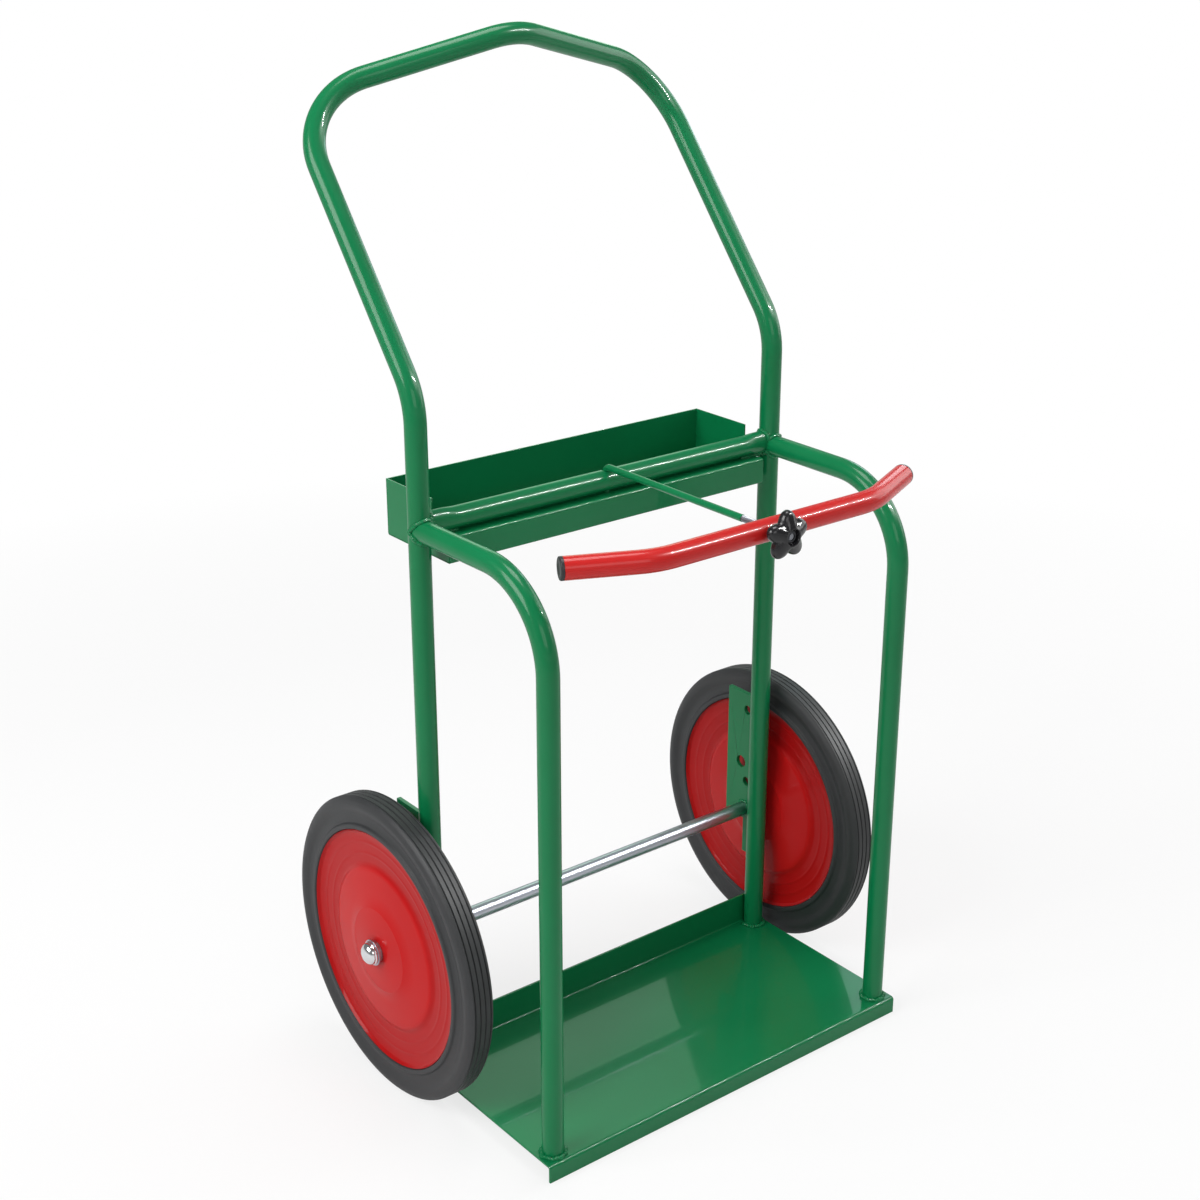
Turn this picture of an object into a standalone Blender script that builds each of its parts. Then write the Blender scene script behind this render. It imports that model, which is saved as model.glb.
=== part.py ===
"""Hand trolley for two gas cylinders: bent tube frame, sheet deck, tool tray, two solid-tyred wheels
and a threaded clamp bar. Metres, +Z up, front towards -Y. The origin is on the floor at the middle of
the trolley's footprint."""

import math

import bmesh
import bpy
from mathutils import Matrix, Vector

# Driving sizes, tube frame
TUBE_OD = 0.0269
TUBE_WALL = 0.002
FRAME_BEND_RADIUS = 0.095
ARM_BEND_RADIUS = 0.107
UPRIGHT_HALF_SPACING = 0.277
ARM_FOOT_HALF_SPACING = 0.2744
ARM_REACH = 0.2443
ARM_HEIGHT = 0.755
HANDLE_BEND_ABOVE_ARM = 0.1572
HANDLE_LEAN = math.radians(38.7)
HANDLE_LENGTH = 0.393
HANDLE_HALF_SPACING = 0.274
GRIP_PEAK_FORWARD = 0.072
GRIP_PEAK_RISE = 0.0684

# Driving sizes, cross tube and its pressed ends
CROSS_TUBE_ABOVE_ARM = 0.005
PRESSED_END_LENGTH = 0.038
PRESSED_END_FLAT = 0.015
PRESSED_END_HEIGHT = 0.0300
PRESSED_END_DEPTH = 0.0215

# Driving sizes, deck
DECK_SHEET = 0.003
DECK_HALF_WIDTH = 0.295
DECK_TOP = 0.0235
DECK_FRONT_MARGIN = 0.0215
DECK_FOLD_RADIUS = 0.0045
REAR_LIP_HEIGHT = 0.0425

# Driving sizes, tool tray
TRAY_SHEET = 0.002
TRAY_HALF_LENGTH = 0.2488
TRAY_FRONT_OVERHANG = 0.0205
TRAY_DEPTH = 0.1348
TRAY_FRONT_HEIGHT = 0.0338
TRAY_REAR_HEIGHT = 0.072
TRAY_FLANGE_LAND = 0.0015
TRAY_FOLD_RADIUS = 0.003

# Driving sizes, axle and brackets
AXLE_DIAMETER = 0.020
AXLE_BEHIND_UPRIGHT = 0.0282
BRACKET_THICKNESS = 0.006
BRACKET_REAR_WIDTH = 0.0515
BRACKET_TOP_ABOVE_AXLE = 0.181
BRACKET_BOTTOM_BELOW_AXLE = 0.016
BRACKET_TAB_WIDTH = 0.015
BRACKET_TAB_DROP = 0.069
BOLT_HOLE_DIAMETER = 0.013
SIGHT_HOLE_DIAMETER = 0.0175
BRACKET_HOLES = (
    (0.0115, 0.156, BOLT_HOLE_DIAMETER),
    (0.0225, 0.0715, SIGHT_HOLE_DIAMETER),
    (0.0105, 0.044, BOLT_HOLE_DIAMETER),
)

# Driving sizes, wheels
WHEEL_DIAMETER = 0.400
TYRE_WIDTH = 0.039
TYRE_SHOULDER = 0.009
TYRE_BEAD_ROUND = 0.0025
RIM_DIAMETER = 0.314
DISC_SHEET = 0.0018
DISC_SET_IN = 0.002
DISC_PRESSING = (
    (0.000, 0.0000),
    (0.010, -0.0055),
    (0.046, -0.0065),
    (0.054, -0.0015),
    (0.094, 0.0015),
    (0.101, 0.0045),
)
DISC_BOSS_LAND = 0.010
DISC_SHORT_OF_HUB_END = 0.004
HUB_LENGTH = 0.056
HUB_WALL = 0.0035
SPACER_LENGTH = 0.0065
WASHER_THICKNESS = 0.0025
WASHER_RIM = 0.007
CAP_DIAMETER = 0.031
CAP_HEIGHT = 0.0125
CAP_WALL = 0.0012
AXLE_INTO_CAP = 0.0068

# Driving sizes, cylinder clamp
ROD_DIAMETER = 0.008
HOOK_RADIUS = 0.009
HOOK_TIP_BELOW_TUBE = 0.002
CLAMP_REACH = 0.2984
CLAMP_BAR_HALF_STRAIGHT = 0.1659
CLAMP_BAR_END_LENGTH = 0.1045
CLAMP_BAR_BEND = math.radians(24.9)
CLAMP_BAR_BEND_RADIUS = 0.105
PLUG_HEAD = 0.004
PLUG_EDGE = 0.0015
PLUG_DEPTH = 0.015
CLAMP_WASHER_THICKNESS = 0.002
CLAMP_WASHER_DIAMETER = 0.022
KNOB_DIAMETER = 0.055
KNOB_WAIST = 0.62
KNOB_THICKNESS = 0.014
KNOB_COLLAR_LENGTH = 0.009
KNOB_COLLAR_DIAMETER = 0.020
KNOB_EDGE = 0.0025
KNOB_EDGE_SCALE = 0.9
KNOB_MOUTH = 0.0015
KNOB_RECESS_DEPTH = 0.004
KNOB_LOBES = 5
INSERT_DIAMETER = 0.013

SHARP_ABOVE = math.radians(35)

# Clearances
SEAT_GAP = 0.0003
AXLE_CLEARANCE = 0.0003
ROD_HOLE_CLEARANCE = 0.0006
HOOK_HOLE_CLEARANCE = 0.0012

# Facets
TUBE_SIDES = 12
ROD_SIDES = 10
WHEEL_FACETS = 32
HUB_FACETS = 16
HOLE_FACETS = 16
FRAME_BEND_STEPS = 6
ARM_BEND_STEPS = 8
BAR_BEND_STEPS = 4
HOOK_STEPS = 4
FOLD_STEPS = 2
CAP_STEPS = 4
KNOB_LOBE_POINTS = 8

# Derived places
TUBE_RADIUS = TUBE_OD / 2
HANDLE_BEND_HEIGHT = ARM_HEIGHT + HANDLE_BEND_ABOVE_ARM
CROSS_TUBE_HEIGHT = ARM_HEIGHT + CROSS_TUBE_ABOVE_ARM
WHEEL_RADIUS = WHEEL_DIAMETER / 2
RIM_RADIUS = RIM_DIAMETER / 2
AXLE_RADIUS = AXLE_DIAMETER / 2
AXLE_HEIGHT = WHEEL_RADIUS
HUB_BORE_RADIUS = AXLE_RADIUS + AXLE_CLEARANCE
HUB_RADIUS = HUB_BORE_RADIUS + HUB_WALL
BRACKET_INNER_X = UPRIGHT_HALF_SPACING + SEAT_GAP
BRACKET_OUTER_X = BRACKET_INNER_X + BRACKET_THICKNESS
SPACER_X = BRACKET_OUTER_X + SEAT_GAP
INNER_WASHER_X = SPACER_X + SPACER_LENGTH + SEAT_GAP
HUB_X = INNER_WASHER_X + WASHER_THICKNESS + SEAT_GAP
WHEEL_X = HUB_X + HUB_LENGTH / 2
OUTER_WASHER_X = HUB_X + HUB_LENGTH + SEAT_GAP
CAP_X = OUTER_WASHER_X + WASHER_THICKNESS + SEAT_GAP
AXLE_HALF_LENGTH = CAP_X + AXLE_INTO_CAP
ROD_RADIUS = ROD_DIAMETER / 2
ROD_HEIGHT = CROSS_TUBE_HEIGHT + TUBE_RADIUS + ROD_RADIUS + SEAT_GAP
HOOK_HOLE_RADIUS = ROD_RADIUS + HOOK_HOLE_CLEARANCE
KNOB_BACK = TUBE_RADIUS + SEAT_GAP + CLAMP_WASHER_THICKNESS + SEAT_GAP
KNOB_LENGTH = KNOB_COLLAR_LENGTH + KNOB_THICKNESS

PAINT_GREEN = (0.014, 0.205, 0.075)
PAINT_RED = (0.56, 0.022, 0.020)
RUBBER_BLACK = (0.035, 0.037, 0.040)
PLASTIC_BLACK = (0.012, 0.012, 0.014)
STEEL = (0.48, 0.50, 0.54)
CHROME = (0.80, 0.81, 0.83)


def clear_scene():
    for old in list(bpy.data.objects):
        bpy.data.objects.remove(old)


def material(name, colour, roughness, metallic):
    made = bpy.data.materials.new(name)
    made.use_nodes = True
    shader = made.node_tree.nodes["Principled BSDF"]
    shader.inputs["Base Color"].default_value = (*colour, 1.0)
    shader.inputs["Roughness"].default_value = roughness
    shader.inputs["Metallic"].default_value = metallic
    return made


def empty(name, place, parent=None):
    made = bpy.data.objects.new(name, None)
    bpy.context.scene.collection.objects.link(made)
    made.parent = parent
    made.location = place
    return made


def finish(bm, name, look, parent, place=(0, 0, 0)):
    """Turns a bmesh into a named object with one closed outward shell, smooth over its round stretches."""
    bmesh.ops.recalc_face_normals(bm, faces=bm.faces)
    mesh = bpy.data.meshes.new(name)
    bm.to_mesh(mesh)
    bm.free()
    if look:
        mesh.materials.append(look)
    mesh.shade_smooth()
    mesh.set_sharp_from_angle(angle=SHARP_ABOVE)
    made = bpy.data.objects.new(name, mesh)
    bpy.context.scene.collection.objects.link(made)
    made.parent = parent
    made.location = place
    return made


def helper(bm, name, parent):
    """A shape that only takes part in a Boolean."""
    made = finish(bm, name, None, parent)
    made.hide_render = True
    made.display_type = "WIRE"
    return made


def combine(target, tool, operation):
    boolean = target.modifiers.new(tool.name, "BOOLEAN")
    boolean.operation = operation
    boolean.solver = "EXACT"
    boolean.object = tool


def bent_path(corners, radius, steps):
    """Points along a bent tube's centre line, with an arc of the given radius at each inner corner."""
    points = [Vector(corners[0])]
    for before, corner, after in zip(corners, corners[1:], corners[2:]):
        corner = Vector(corner)
        back = (Vector(before) - corner).normalized()
        ahead = (Vector(after) - corner).normalized()
        turn = math.pi - back.angle(ahead)
        tangent = radius * math.tan(turn / 2)
        centre = corner + (back + ahead).normalized() * radius / math.cos(turn / 2)
        axis = ahead.cross(back).normalized()
        spoke = corner + back * tangent - centre
        for step in range(steps + 1):
            points.append(centre + Matrix.Rotation(turn * step / steps, 3, axis) @ spoke)
    points.append(Vector(corners[-1]))
    return points


def rings_along(points, first_side):
    """A (place, side, up) triple square to the path at each of its points, carried along without twist."""
    side = Vector(first_side)
    rings = []
    for index, point in enumerate(points):
        before = points[max(index - 1, 0)]
        after = points[min(index + 1, len(points) - 1)]
        ahead = (after - before).normalized()
        side = (side - ahead * side.dot(ahead)).normalized()
        rings.append((point, side, ahead.cross(side)))
    return rings


def mirrored_halves(rings):
    """The first half of a symmetric run of rings, followed by its mirror image across X."""
    count = len(rings)
    kept = rings[: (count + 1) // 2]
    for ring in reversed(rings[: count // 2]):
        kept.append(tuple(Vector((-part.x, part.y, part.z)) for part in ring))
    return kept


def ring_of_vertices(bm, ring, radii, sides):
    """One ring, with the polygon's corners pushed out to keep the tube's true width across its flats."""
    place, side, up = ring
    grow = 1 / math.cos(math.pi / sides)
    made = []
    for index in range(sides):
        angle = 2 * math.pi * (index + 0.5) / sides
        across = side * math.cos(angle) * radii[0] * grow
        along = up * math.sin(angle) * radii[1] * grow
        made.append(bm.verts.new(place + across + along))
    return made


def skin(bm, first, second):
    for index, corner in enumerate(first):
        other = (index + 1) % len(first)
        bm.faces.new((corner, first[other], second[other], second[index]))


def tube_mesh(rings, radii, wall, sides):
    """A bent tube, hollow with open ends where it has a wall. radii gives each ring's half widths."""
    bm = bmesh.new()
    outside = [ring_of_vertices(bm, ring, size, sides) for ring, size in zip(rings, radii)]
    for first, second in zip(outside, outside[1:]):
        skin(bm, first, second)
    if not wall:
        bm.faces.new(outside[0])
        bm.faces.new(outside[-1])
        return bm
    inside = [
        ring_of_vertices(bm, ring, (size[0] - wall, size[1] - wall), sides)
        for ring, size in zip(rings, radii)
    ]
    for first, second in zip(inside, inside[1:]):
        skin(bm, first, second)
    skin(bm, outside[0], inside[0])
    skin(bm, outside[-1], inside[-1])
    return bm


def round_tube(rings, radius, wall, sides):
    return tube_mesh(rings, [(radius, radius)] * len(rings), wall, sides)


def turned(profile, facets, closed_ring):
    """A solid of revolution about X. The profile is a list of (x, radius) points."""
    bm = bmesh.new()
    vertices = [bm.verts.new((x, 0, radius)) for x, radius in profile]
    edges = [bm.edges.new(pair) for pair in zip(vertices, vertices[1:])]
    if closed_ring:
        edges.append(bm.edges.new((vertices[-1], vertices[0])))
    bmesh.ops.spin(
        bm,
        geom=vertices + edges,
        cent=(0, 0, 0),
        axis=(1, 0, 0),
        angle=2 * math.pi,
        steps=facets,
        use_merge=True,
    )
    bmesh.ops.remove_doubles(bm, verts=bm.verts, dist=1e-6)
    return bm


def ring_solid(inner, outer, length, facets):
    """A washer or sleeve whose inboard face is at x = 0."""
    return turned([(0, inner), (length, inner), (length, outer), (0, outer)], facets, True)


def rounded_outline(corners):
    """Points of a closed outline. Each corner is (first, second, radius), and a radius of 0 is sharp."""
    points = []
    for index, (first, second, radius) in enumerate(corners):
        if radius <= 0:
            points.append((first, second))
            continue
        before = corners[index - 1]
        after = corners[(index + 1) % len(corners)]
        three = [(0, *before[:2]), (0, first, second), (0, *after[:2])]
        arc = bent_path(three, radius, FOLD_STEPS)[1:-1]
        points += [(point.y, point.z) for point in arc]
    return points


def slab(outline, start, thickness):
    """A flat outline of (y, z) points pushed out along +X."""
    bm = bmesh.new()
    face = bm.faces.new([bm.verts.new((start, y, z)) for y, z in outline])
    grown = bmesh.ops.extrude_face_region(bm, geom=[face])
    moved = [item for item in grown["geom"] if isinstance(item, bmesh.types.BMVert)]
    bmesh.ops.translate(bm, verts=moved, vec=(thickness, 0, 0))
    return bm


def drill(start, direction, length, diameter):
    """A round cutter from start along a row axis."""
    bm = bmesh.new()
    turn = Vector((0, 0, 1)).rotation_difference(Vector(direction)).to_matrix().to_4x4()
    middle = Vector(start) + Vector(direction) * length / 2
    bmesh.ops.create_cone(
        bm,
        cap_ends=True,
        segments=HOLE_FACETS,
        radius1=diameter / 2,
        radius2=diameter / 2,
        depth=length,
        matrix=Matrix.Translation(middle) @ turn,
    )
    return bm


def make_base_plate(look, root):
    """Deck with its front lip folded down and its rear lip folded up behind the uprights. The rear fold
    is tight inside, because the uprights stand in it."""
    front = -ARM_REACH - DECK_FRONT_MARGIN
    lip_face = TUBE_RADIUS + SEAT_GAP
    rear = lip_face + DECK_SHEET
    under = DECK_TOP - DECK_SHEET
    lip_top = DECK_TOP + REAR_LIP_HEIGHT
    corners = [
        (front, 0, 0),
        (front, DECK_TOP, DECK_FOLD_RADIUS),
        (lip_face, DECK_TOP, 0),
        (lip_face, lip_top, 0),
        (rear, lip_top, 0),
        (rear, under, DECK_FOLD_RADIUS),
        (front + DECK_SHEET, under, DECK_FOLD_RADIUS - DECK_SHEET),
        (front + DECK_SHEET, 0, 0),
    ]
    bm = slab(rounded_outline(corners), -DECK_HALF_WIDTH, 2 * DECK_HALF_WIDTH)
    finish(bm, "base_plate", look, root)


def make_rear_frame(look, root):
    """One tube: up from the deck, back along the handle, and over a peaked grip."""
    foot = DECK_TOP + SEAT_GAP
    shoulder_y = HANDLE_LENGTH * math.sin(HANDLE_LEAN)
    shoulder_z = HANDLE_BEND_HEIGHT + HANDLE_LENGTH * math.cos(HANDLE_LEAN)
    half = [
        (-UPRIGHT_HALF_SPACING, 0, foot),
        (-UPRIGHT_HALF_SPACING, 0, HANDLE_BEND_HEIGHT),
        (-HANDLE_HALF_SPACING, shoulder_y, shoulder_z),
    ]
    peak = (0, shoulder_y - GRIP_PEAK_FORWARD, shoulder_z + GRIP_PEAK_RISE)
    corners = half + [peak] + [(-x, y, z) for x, y, z in reversed(half)]
    points = bent_path(corners, FRAME_BEND_RADIUS, FRAME_BEND_STEPS)
    rings = mirrored_halves(rings_along(points, (0, 1, 0)))
    bm = round_tube(rings, TUBE_RADIUS, TUBE_WALL, TUBE_SIDES)
    finish(bm, "rear_frame", look, root)


def make_side_arm(side, look, root):
    """Tube from the upright's front face forward and down to the deck."""
    sign = -1 if side == "left" else 1
    corners = [
        (sign * UPRIGHT_HALF_SPACING, -TUBE_RADIUS - SEAT_GAP, ARM_HEIGHT),
        (sign * ARM_FOOT_HALF_SPACING, -ARM_REACH, ARM_HEIGHT),
        (sign * ARM_FOOT_HALF_SPACING, -ARM_REACH, DECK_TOP + SEAT_GAP),
    ]
    points = bent_path(corners, ARM_BEND_RADIUS, ARM_BEND_STEPS)
    bm = round_tube(rings_along(points, (1, 0, 0)), TUBE_RADIUS, TUBE_WALL, TUBE_SIDES)
    finish(bm, f"{side}_side_arm", look, root)


def make_cross_tube(look, root):
    """Tube between the uprights, its ends pressed taller and thinner, drilled for the clamp rod."""
    half = UPRIGHT_HALF_SPACING - TUBE_RADIUS - SEAT_GAP
    stations = [half, half - PRESSED_END_FLAT, half - PRESSED_END_LENGTH]
    pressed = (PRESSED_END_DEPTH / 2, PRESSED_END_HEIGHT / 2)
    sizes = [pressed, pressed, (TUBE_RADIUS, TUBE_RADIUS)]
    places = [-x for x in stations] + list(reversed(stations))
    radii = sizes + list(reversed(sizes))
    points = [Vector((x, 0, CROSS_TUBE_HEIGHT)) for x in places]
    bm = tube_mesh(rings_along(points, (0, 1, 0)), radii, TUBE_WALL, TUBE_SIDES)
    return finish(bm, "cross_tube", look, root)


def make_tool_tray(look, root):
    """Open tray: a folded sheet for flange, front, floor and back, with an end wall welded in at each end."""
    front = -TRAY_FRONT_OVERHANG
    rear = front + TRAY_DEPTH
    sheet = TRAY_SHEET
    flange_top = CROSS_TUBE_HEIGHT - max(TUBE_RADIUS, PRESSED_END_HEIGHT / 2) - SEAT_GAP
    floor = flange_top - TRAY_FRONT_HEIGHT
    flange_rear = HOOK_HOLE_RADIUS + TRAY_FLANGE_LAND
    rim = floor + TRAY_REAR_HEIGHT
    outer = TRAY_FOLD_RADIUS
    inner = TRAY_FOLD_RADIUS - sheet
    corners = [
        (flange_rear, flange_top, 0),
        (front, flange_top, outer),
        (front, floor, outer),
        (rear, floor, outer),
        (rear, rim, 0),
        (rear - sheet, rim, 0),
        (rear - sheet, floor + sheet, inner),
        (front + sheet, floor + sheet, inner),
        (front + sheet, flange_top - sheet, inner),
        (flange_rear, flange_top - sheet, 0),
    ]
    bm = slab(rounded_outline(corners), -TRAY_HALF_LENGTH, 2 * TRAY_HALF_LENGTH)
    tray = finish(bm, "tool_tray", look, root)
    notch = TUBE_RADIUS + SEAT_GAP + sheet
    inset = sheet / 2
    wall = [
        (front + inset, floor + inset),
        (rear - inset, floor + inset),
        (rear - inset, rim),
        (notch, rim),
        (notch, flange_top - inset),
        (front + inset, flange_top - inset),
    ]
    for side, start in (("left", -TRAY_HALF_LENGTH), ("right", TRAY_HALF_LENGTH - sheet)):
        end = helper(slab(wall, start, sheet), f"{side}_tray_end", root)
        combine(tray, end, "UNION")
    return tray


def make_axle_bracket(side, look, root):
    """Flat plate behind the upright: a wide part above the axle and a narrow tab below it."""
    sign = -1 if side == "left" else 1
    near = TUBE_RADIUS + SEAT_GAP
    rear = near + BRACKET_REAR_WIDTH
    top = AXLE_HEIGHT + BRACKET_TOP_ABOVE_AXLE
    step = AXLE_HEIGHT - BRACKET_BOTTOM_BELOW_AXLE
    outline = [
        (near, AXLE_HEIGHT - BRACKET_TAB_DROP),
        (near + BRACKET_TAB_WIDTH, AXLE_HEIGHT - BRACKET_TAB_DROP),
        (near + BRACKET_TAB_WIDTH, step),
        (rear, step),
        (rear, top),
        (near, top),
    ]
    start = BRACKET_INNER_X if side == "right" else -BRACKET_OUTER_X
    plate = finish(slab(outline, start, BRACKET_THICKNESS), f"{side}_axle_bracket", look, root)
    holes = [(AXLE_BEHIND_UPRIGHT, AXLE_HEIGHT, AXLE_DIAMETER + 2 * AXLE_CLEARANCE)]
    for behind_tube, above_axle, diameter in BRACKET_HOLES:
        holes.append((near + behind_tube, AXLE_HEIGHT + above_axle, diameter))
    reach = 3 * BRACKET_THICKNESS
    for number, (y, z, diameter) in enumerate(holes):
        place = (sign * (BRACKET_INNER_X - BRACKET_THICKNESS), y, z)
        bm = drill(place, (sign, 0, 0), reach, diameter)
        combine(plate, helper(bm, f"{side}_bracket_drill_{number}", root), "DIFFERENCE")


def make_axle(look, root):
    length = 2 * AXLE_HALF_LENGTH
    profile = [(0, 0), (0, AXLE_RADIUS), (length, AXLE_RADIUS), (length, 0)]
    bm = turned(profile, HUB_FACETS, False)
    finish(bm, "axle", look, root, (-AXLE_HALF_LENGTH, AXLE_BEHIND_UPRIGHT, AXLE_HEIGHT))


def disc_profile():
    """The outer disc's face, as (distance from the wheel's middle, radius), from the rim to the hub."""
    edge = TYRE_WIDTH / 2 - DISC_SET_IN
    hub_end = HUB_LENGTH / 2 - DISC_SHORT_OF_HUB_END
    face = [(edge + out, RIM_RADIUS - inward) for inward, out in DISC_PRESSING]
    return face + [(hub_end, HUB_RADIUS + DISC_BOSS_LAND), (hub_end, HUB_RADIUS + SEAT_GAP)]


def make_disc(name, look, parent, outward):
    """Pressed disc. outward is the sign of X on which its face lies."""
    face = disc_profile()
    back = [(x - DISC_SHEET, radius) for x, radius in reversed(face)]
    profile = [(outward * x, radius) for x, radius in face + back]
    finish(turned(profile, WHEEL_FACETS, True), name, look, parent)


def make_tyre(name, look, parent):
    """Solid tyre, a ring with rounded shoulders and a lightly rounded bead on each side."""
    half = TYRE_WIDTH / 2
    bead = RIM_RADIUS + SEAT_GAP
    corners = [
        (-half, bead, TYRE_BEAD_ROUND),
        (half, bead, TYRE_BEAD_ROUND),
        (half, WHEEL_RADIUS, TYRE_SHOULDER),
        (-half, WHEEL_RADIUS, TYRE_SHOULDER),
    ]
    finish(turned(rounded_outline(corners), WHEEL_FACETS, True), name, look, parent)


def dome(height, radius):
    """Quarter-ellipse profile from the mouth's edge at x = 0 to the tip on the axis."""
    points = []
    for step in range(CAP_STEPS + 1):
        angle = math.pi / 2 * step / CAP_STEPS
        points.append((height * math.sin(angle), radius * math.cos(angle)))
    return points


def make_hub_cap(name, look, parent, place, sign):
    """Domed push-on cap, hollow, whose mouth takes the axle's end."""
    outside = dome(CAP_HEIGHT, CAP_DIAMETER / 2)
    inside = dome(CAP_HEIGHT - CAP_WALL, CAP_DIAMETER / 2 - CAP_WALL)
    profile = [(sign * x, radius) for x, radius in list(reversed(outside)) + inside]
    finish(turned(profile, HUB_FACETS, False), name, look, parent, place)


def make_wheel(side, looks, root):
    """Tyre, two discs and hub on the wheel's own empty; spacer, washers and cap stay with the axle."""
    sign = -1 if side == "left" else 1
    spin = empty(f"{side}_wheel_axis", (sign * WHEEL_X, AXLE_BEHIND_UPRIGHT, AXLE_HEIGHT), root)
    make_tyre(f"{side}_tyre", looks["rubber"], spin)
    make_disc(f"{side}_outer_disc", looks["red"], spin, sign)
    make_disc(f"{side}_inner_disc", looks["red"], spin, -sign)
    hub = ring_solid(HUB_BORE_RADIUS, HUB_RADIUS, HUB_LENGTH, HUB_FACETS)
    bmesh.ops.translate(hub, verts=hub.verts, vec=(-HUB_LENGTH / 2, 0, 0))
    finish(hub, f"{side}_hub_tube", looks["steel"], spin)
    fixed = (
        ("axle_spacer", SPACER_X, SPACER_LENGTH, HUB_RADIUS),
        ("inner_washer", INNER_WASHER_X, WASHER_THICKNESS, AXLE_RADIUS + WASHER_RIM),
        ("outer_washer", OUTER_WASHER_X, WASHER_THICKNESS, AXLE_RADIUS + WASHER_RIM),
    )
    for name, inboard, length, outer in fixed:
        bm = ring_solid(HUB_BORE_RADIUS, outer, length, HUB_FACETS)
        start = inboard if sign > 0 else -inboard - length
        finish(bm, f"{side}_{name}", looks["steel"], root, (start, AXLE_BEHIND_UPRIGHT, AXLE_HEIGHT))
    place = (sign * CAP_X, AXLE_BEHIND_UPRIGHT, AXLE_HEIGHT)
    make_hub_cap(f"{side}_hub_cap", looks["chrome"], root, place, sign)


def make_clamp_rod(look, swivel):
    """Rod with its rear end hooked down through the cross tube. Its empty is on the hook's axis."""
    tip = -TUBE_RADIUS - TUBE_RADIUS - ROD_RADIUS - SEAT_GAP - HOOK_TIP_BELOW_TUBE
    front = -CLAMP_REACH - KNOB_BACK - KNOB_LENGTH + KNOB_RECESS_DEPTH + SEAT_GAP
    points = bent_path([(0, 0, tip), (0, 0, 0), (0, front, 0)], HOOK_RADIUS, HOOK_STEPS)
    bm = round_tube(rings_along(points, (1, 0, 0)), ROD_RADIUS, 0, ROD_SIDES)
    finish(bm, "clamp_rod", look, swivel)


def make_clamp_bar(looks, slide):
    """Tube across the front, both ends bent back, drilled fore and aft for the rod, with end plugs."""
    reach = math.cos(CLAMP_BAR_BEND) * CLAMP_BAR_END_LENGTH
    set_back = math.sin(CLAMP_BAR_BEND) * CLAMP_BAR_END_LENGTH
    end = (CLAMP_BAR_HALF_STRAIGHT + reach, set_back, 0)
    corners = [
        (-end[0], end[1], 0),
        (-CLAMP_BAR_HALF_STRAIGHT, 0, 0),
        (CLAMP_BAR_HALF_STRAIGHT, 0, 0),
        end,
    ]
    points = bent_path(corners, CLAMP_BAR_BEND_RADIUS, BAR_BEND_STEPS)
    rings = mirrored_halves(rings_along(points, (0, 1, 0)))
    bm = round_tube(rings, TUBE_RADIUS, TUBE_WALL, TUBE_SIDES)
    bar = finish(bm, "clamp_bar", looks["red"], slide)
    hole = drill((0, -TUBE_OD, 0), (0, 1, 0), 2 * TUBE_OD, ROD_DIAMETER + 2 * ROD_HOLE_CLEARANCE)
    combine(bar, helper(hole, "clamp_bar_drill", slide), "DIFFERENCE")
    bore = TUBE_RADIUS - TUBE_WALL - SEAT_GAP
    head = SEAT_GAP + PLUG_HEAD
    profile = [
        (-PLUG_DEPTH, 0),
        (-PLUG_DEPTH, bore),
        (SEAT_GAP, bore),
        (SEAT_GAP, TUBE_RADIUS),
        (head - PLUG_EDGE, TUBE_RADIUS),
        (head, TUBE_RADIUS - PLUG_EDGE),
        (head, 0),
    ]
    for side, sign in (("left", -1), ("right", 1)):
        plug = finish(turned(profile, TUBE_SIDES, False), f"{side}_bar_plug", looks["plastic"], slide)
        turn = CLAMP_BAR_BEND if sign > 0 else math.pi - CLAMP_BAR_BEND
        plug.rotation_euler = (0, 0, turn)
        plug.location = (sign * end[0], end[1], 0)


def knob_outline(scale):
    """Five-lobed outline in (x, z), one lobe straight up."""
    points = []
    count = KNOB_LOBES * KNOB_LOBE_POINTS
    for index in range(count):
        angle = 2 * math.pi * index / count
        wave = (1 + math.cos(KNOB_LOBES * angle)) / 2
        radius = KNOB_DIAMETER / 2 * (KNOB_WAIST + (1 - KNOB_WAIST) * wave) * scale
        points.append((radius * math.sin(angle), radius * math.cos(angle)))
    return points


def make_clamp_knob(look, turn):
    """Star knob: a collar at the back, a lobed head, and a recess in front round the threaded bush."""
    bm = bmesh.new()
    back = -KNOB_BACK
    count = KNOB_LOBES * KNOB_LOBE_POINTS
    bore = INSERT_DIAMETER / 2 + SEAT_GAP
    front = back - KNOB_LENGTH

    def circle(radius, y):
        made = []
        for index in range(count):
            angle = 2 * math.pi * index / count
            made.append(bm.verts.new((radius * math.sin(angle), y, radius * math.cos(angle))))
        return made

    def star(scale, y):
        return [bm.verts.new((x, y, z)) for x, z in knob_outline(scale)]

    head = back - KNOB_COLLAR_LENGTH
    rings = [
        circle(bore, back),
        circle(KNOB_COLLAR_DIAMETER / 2, back),
        circle(KNOB_COLLAR_DIAMETER / 2, head),
        star(KNOB_EDGE_SCALE, head),
        star(1, head - KNOB_EDGE),
        star(1, front + KNOB_EDGE),
        star(KNOB_EDGE_SCALE, front),
        circle(bore + KNOB_MOUTH, front),
        circle(bore, front + KNOB_MOUTH),
    ]
    for first, second in zip(rings, rings[1:] + rings[:1]):
        skin(bm, first, second)
    finish(bm, "clamp_knob", look, turn)


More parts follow.
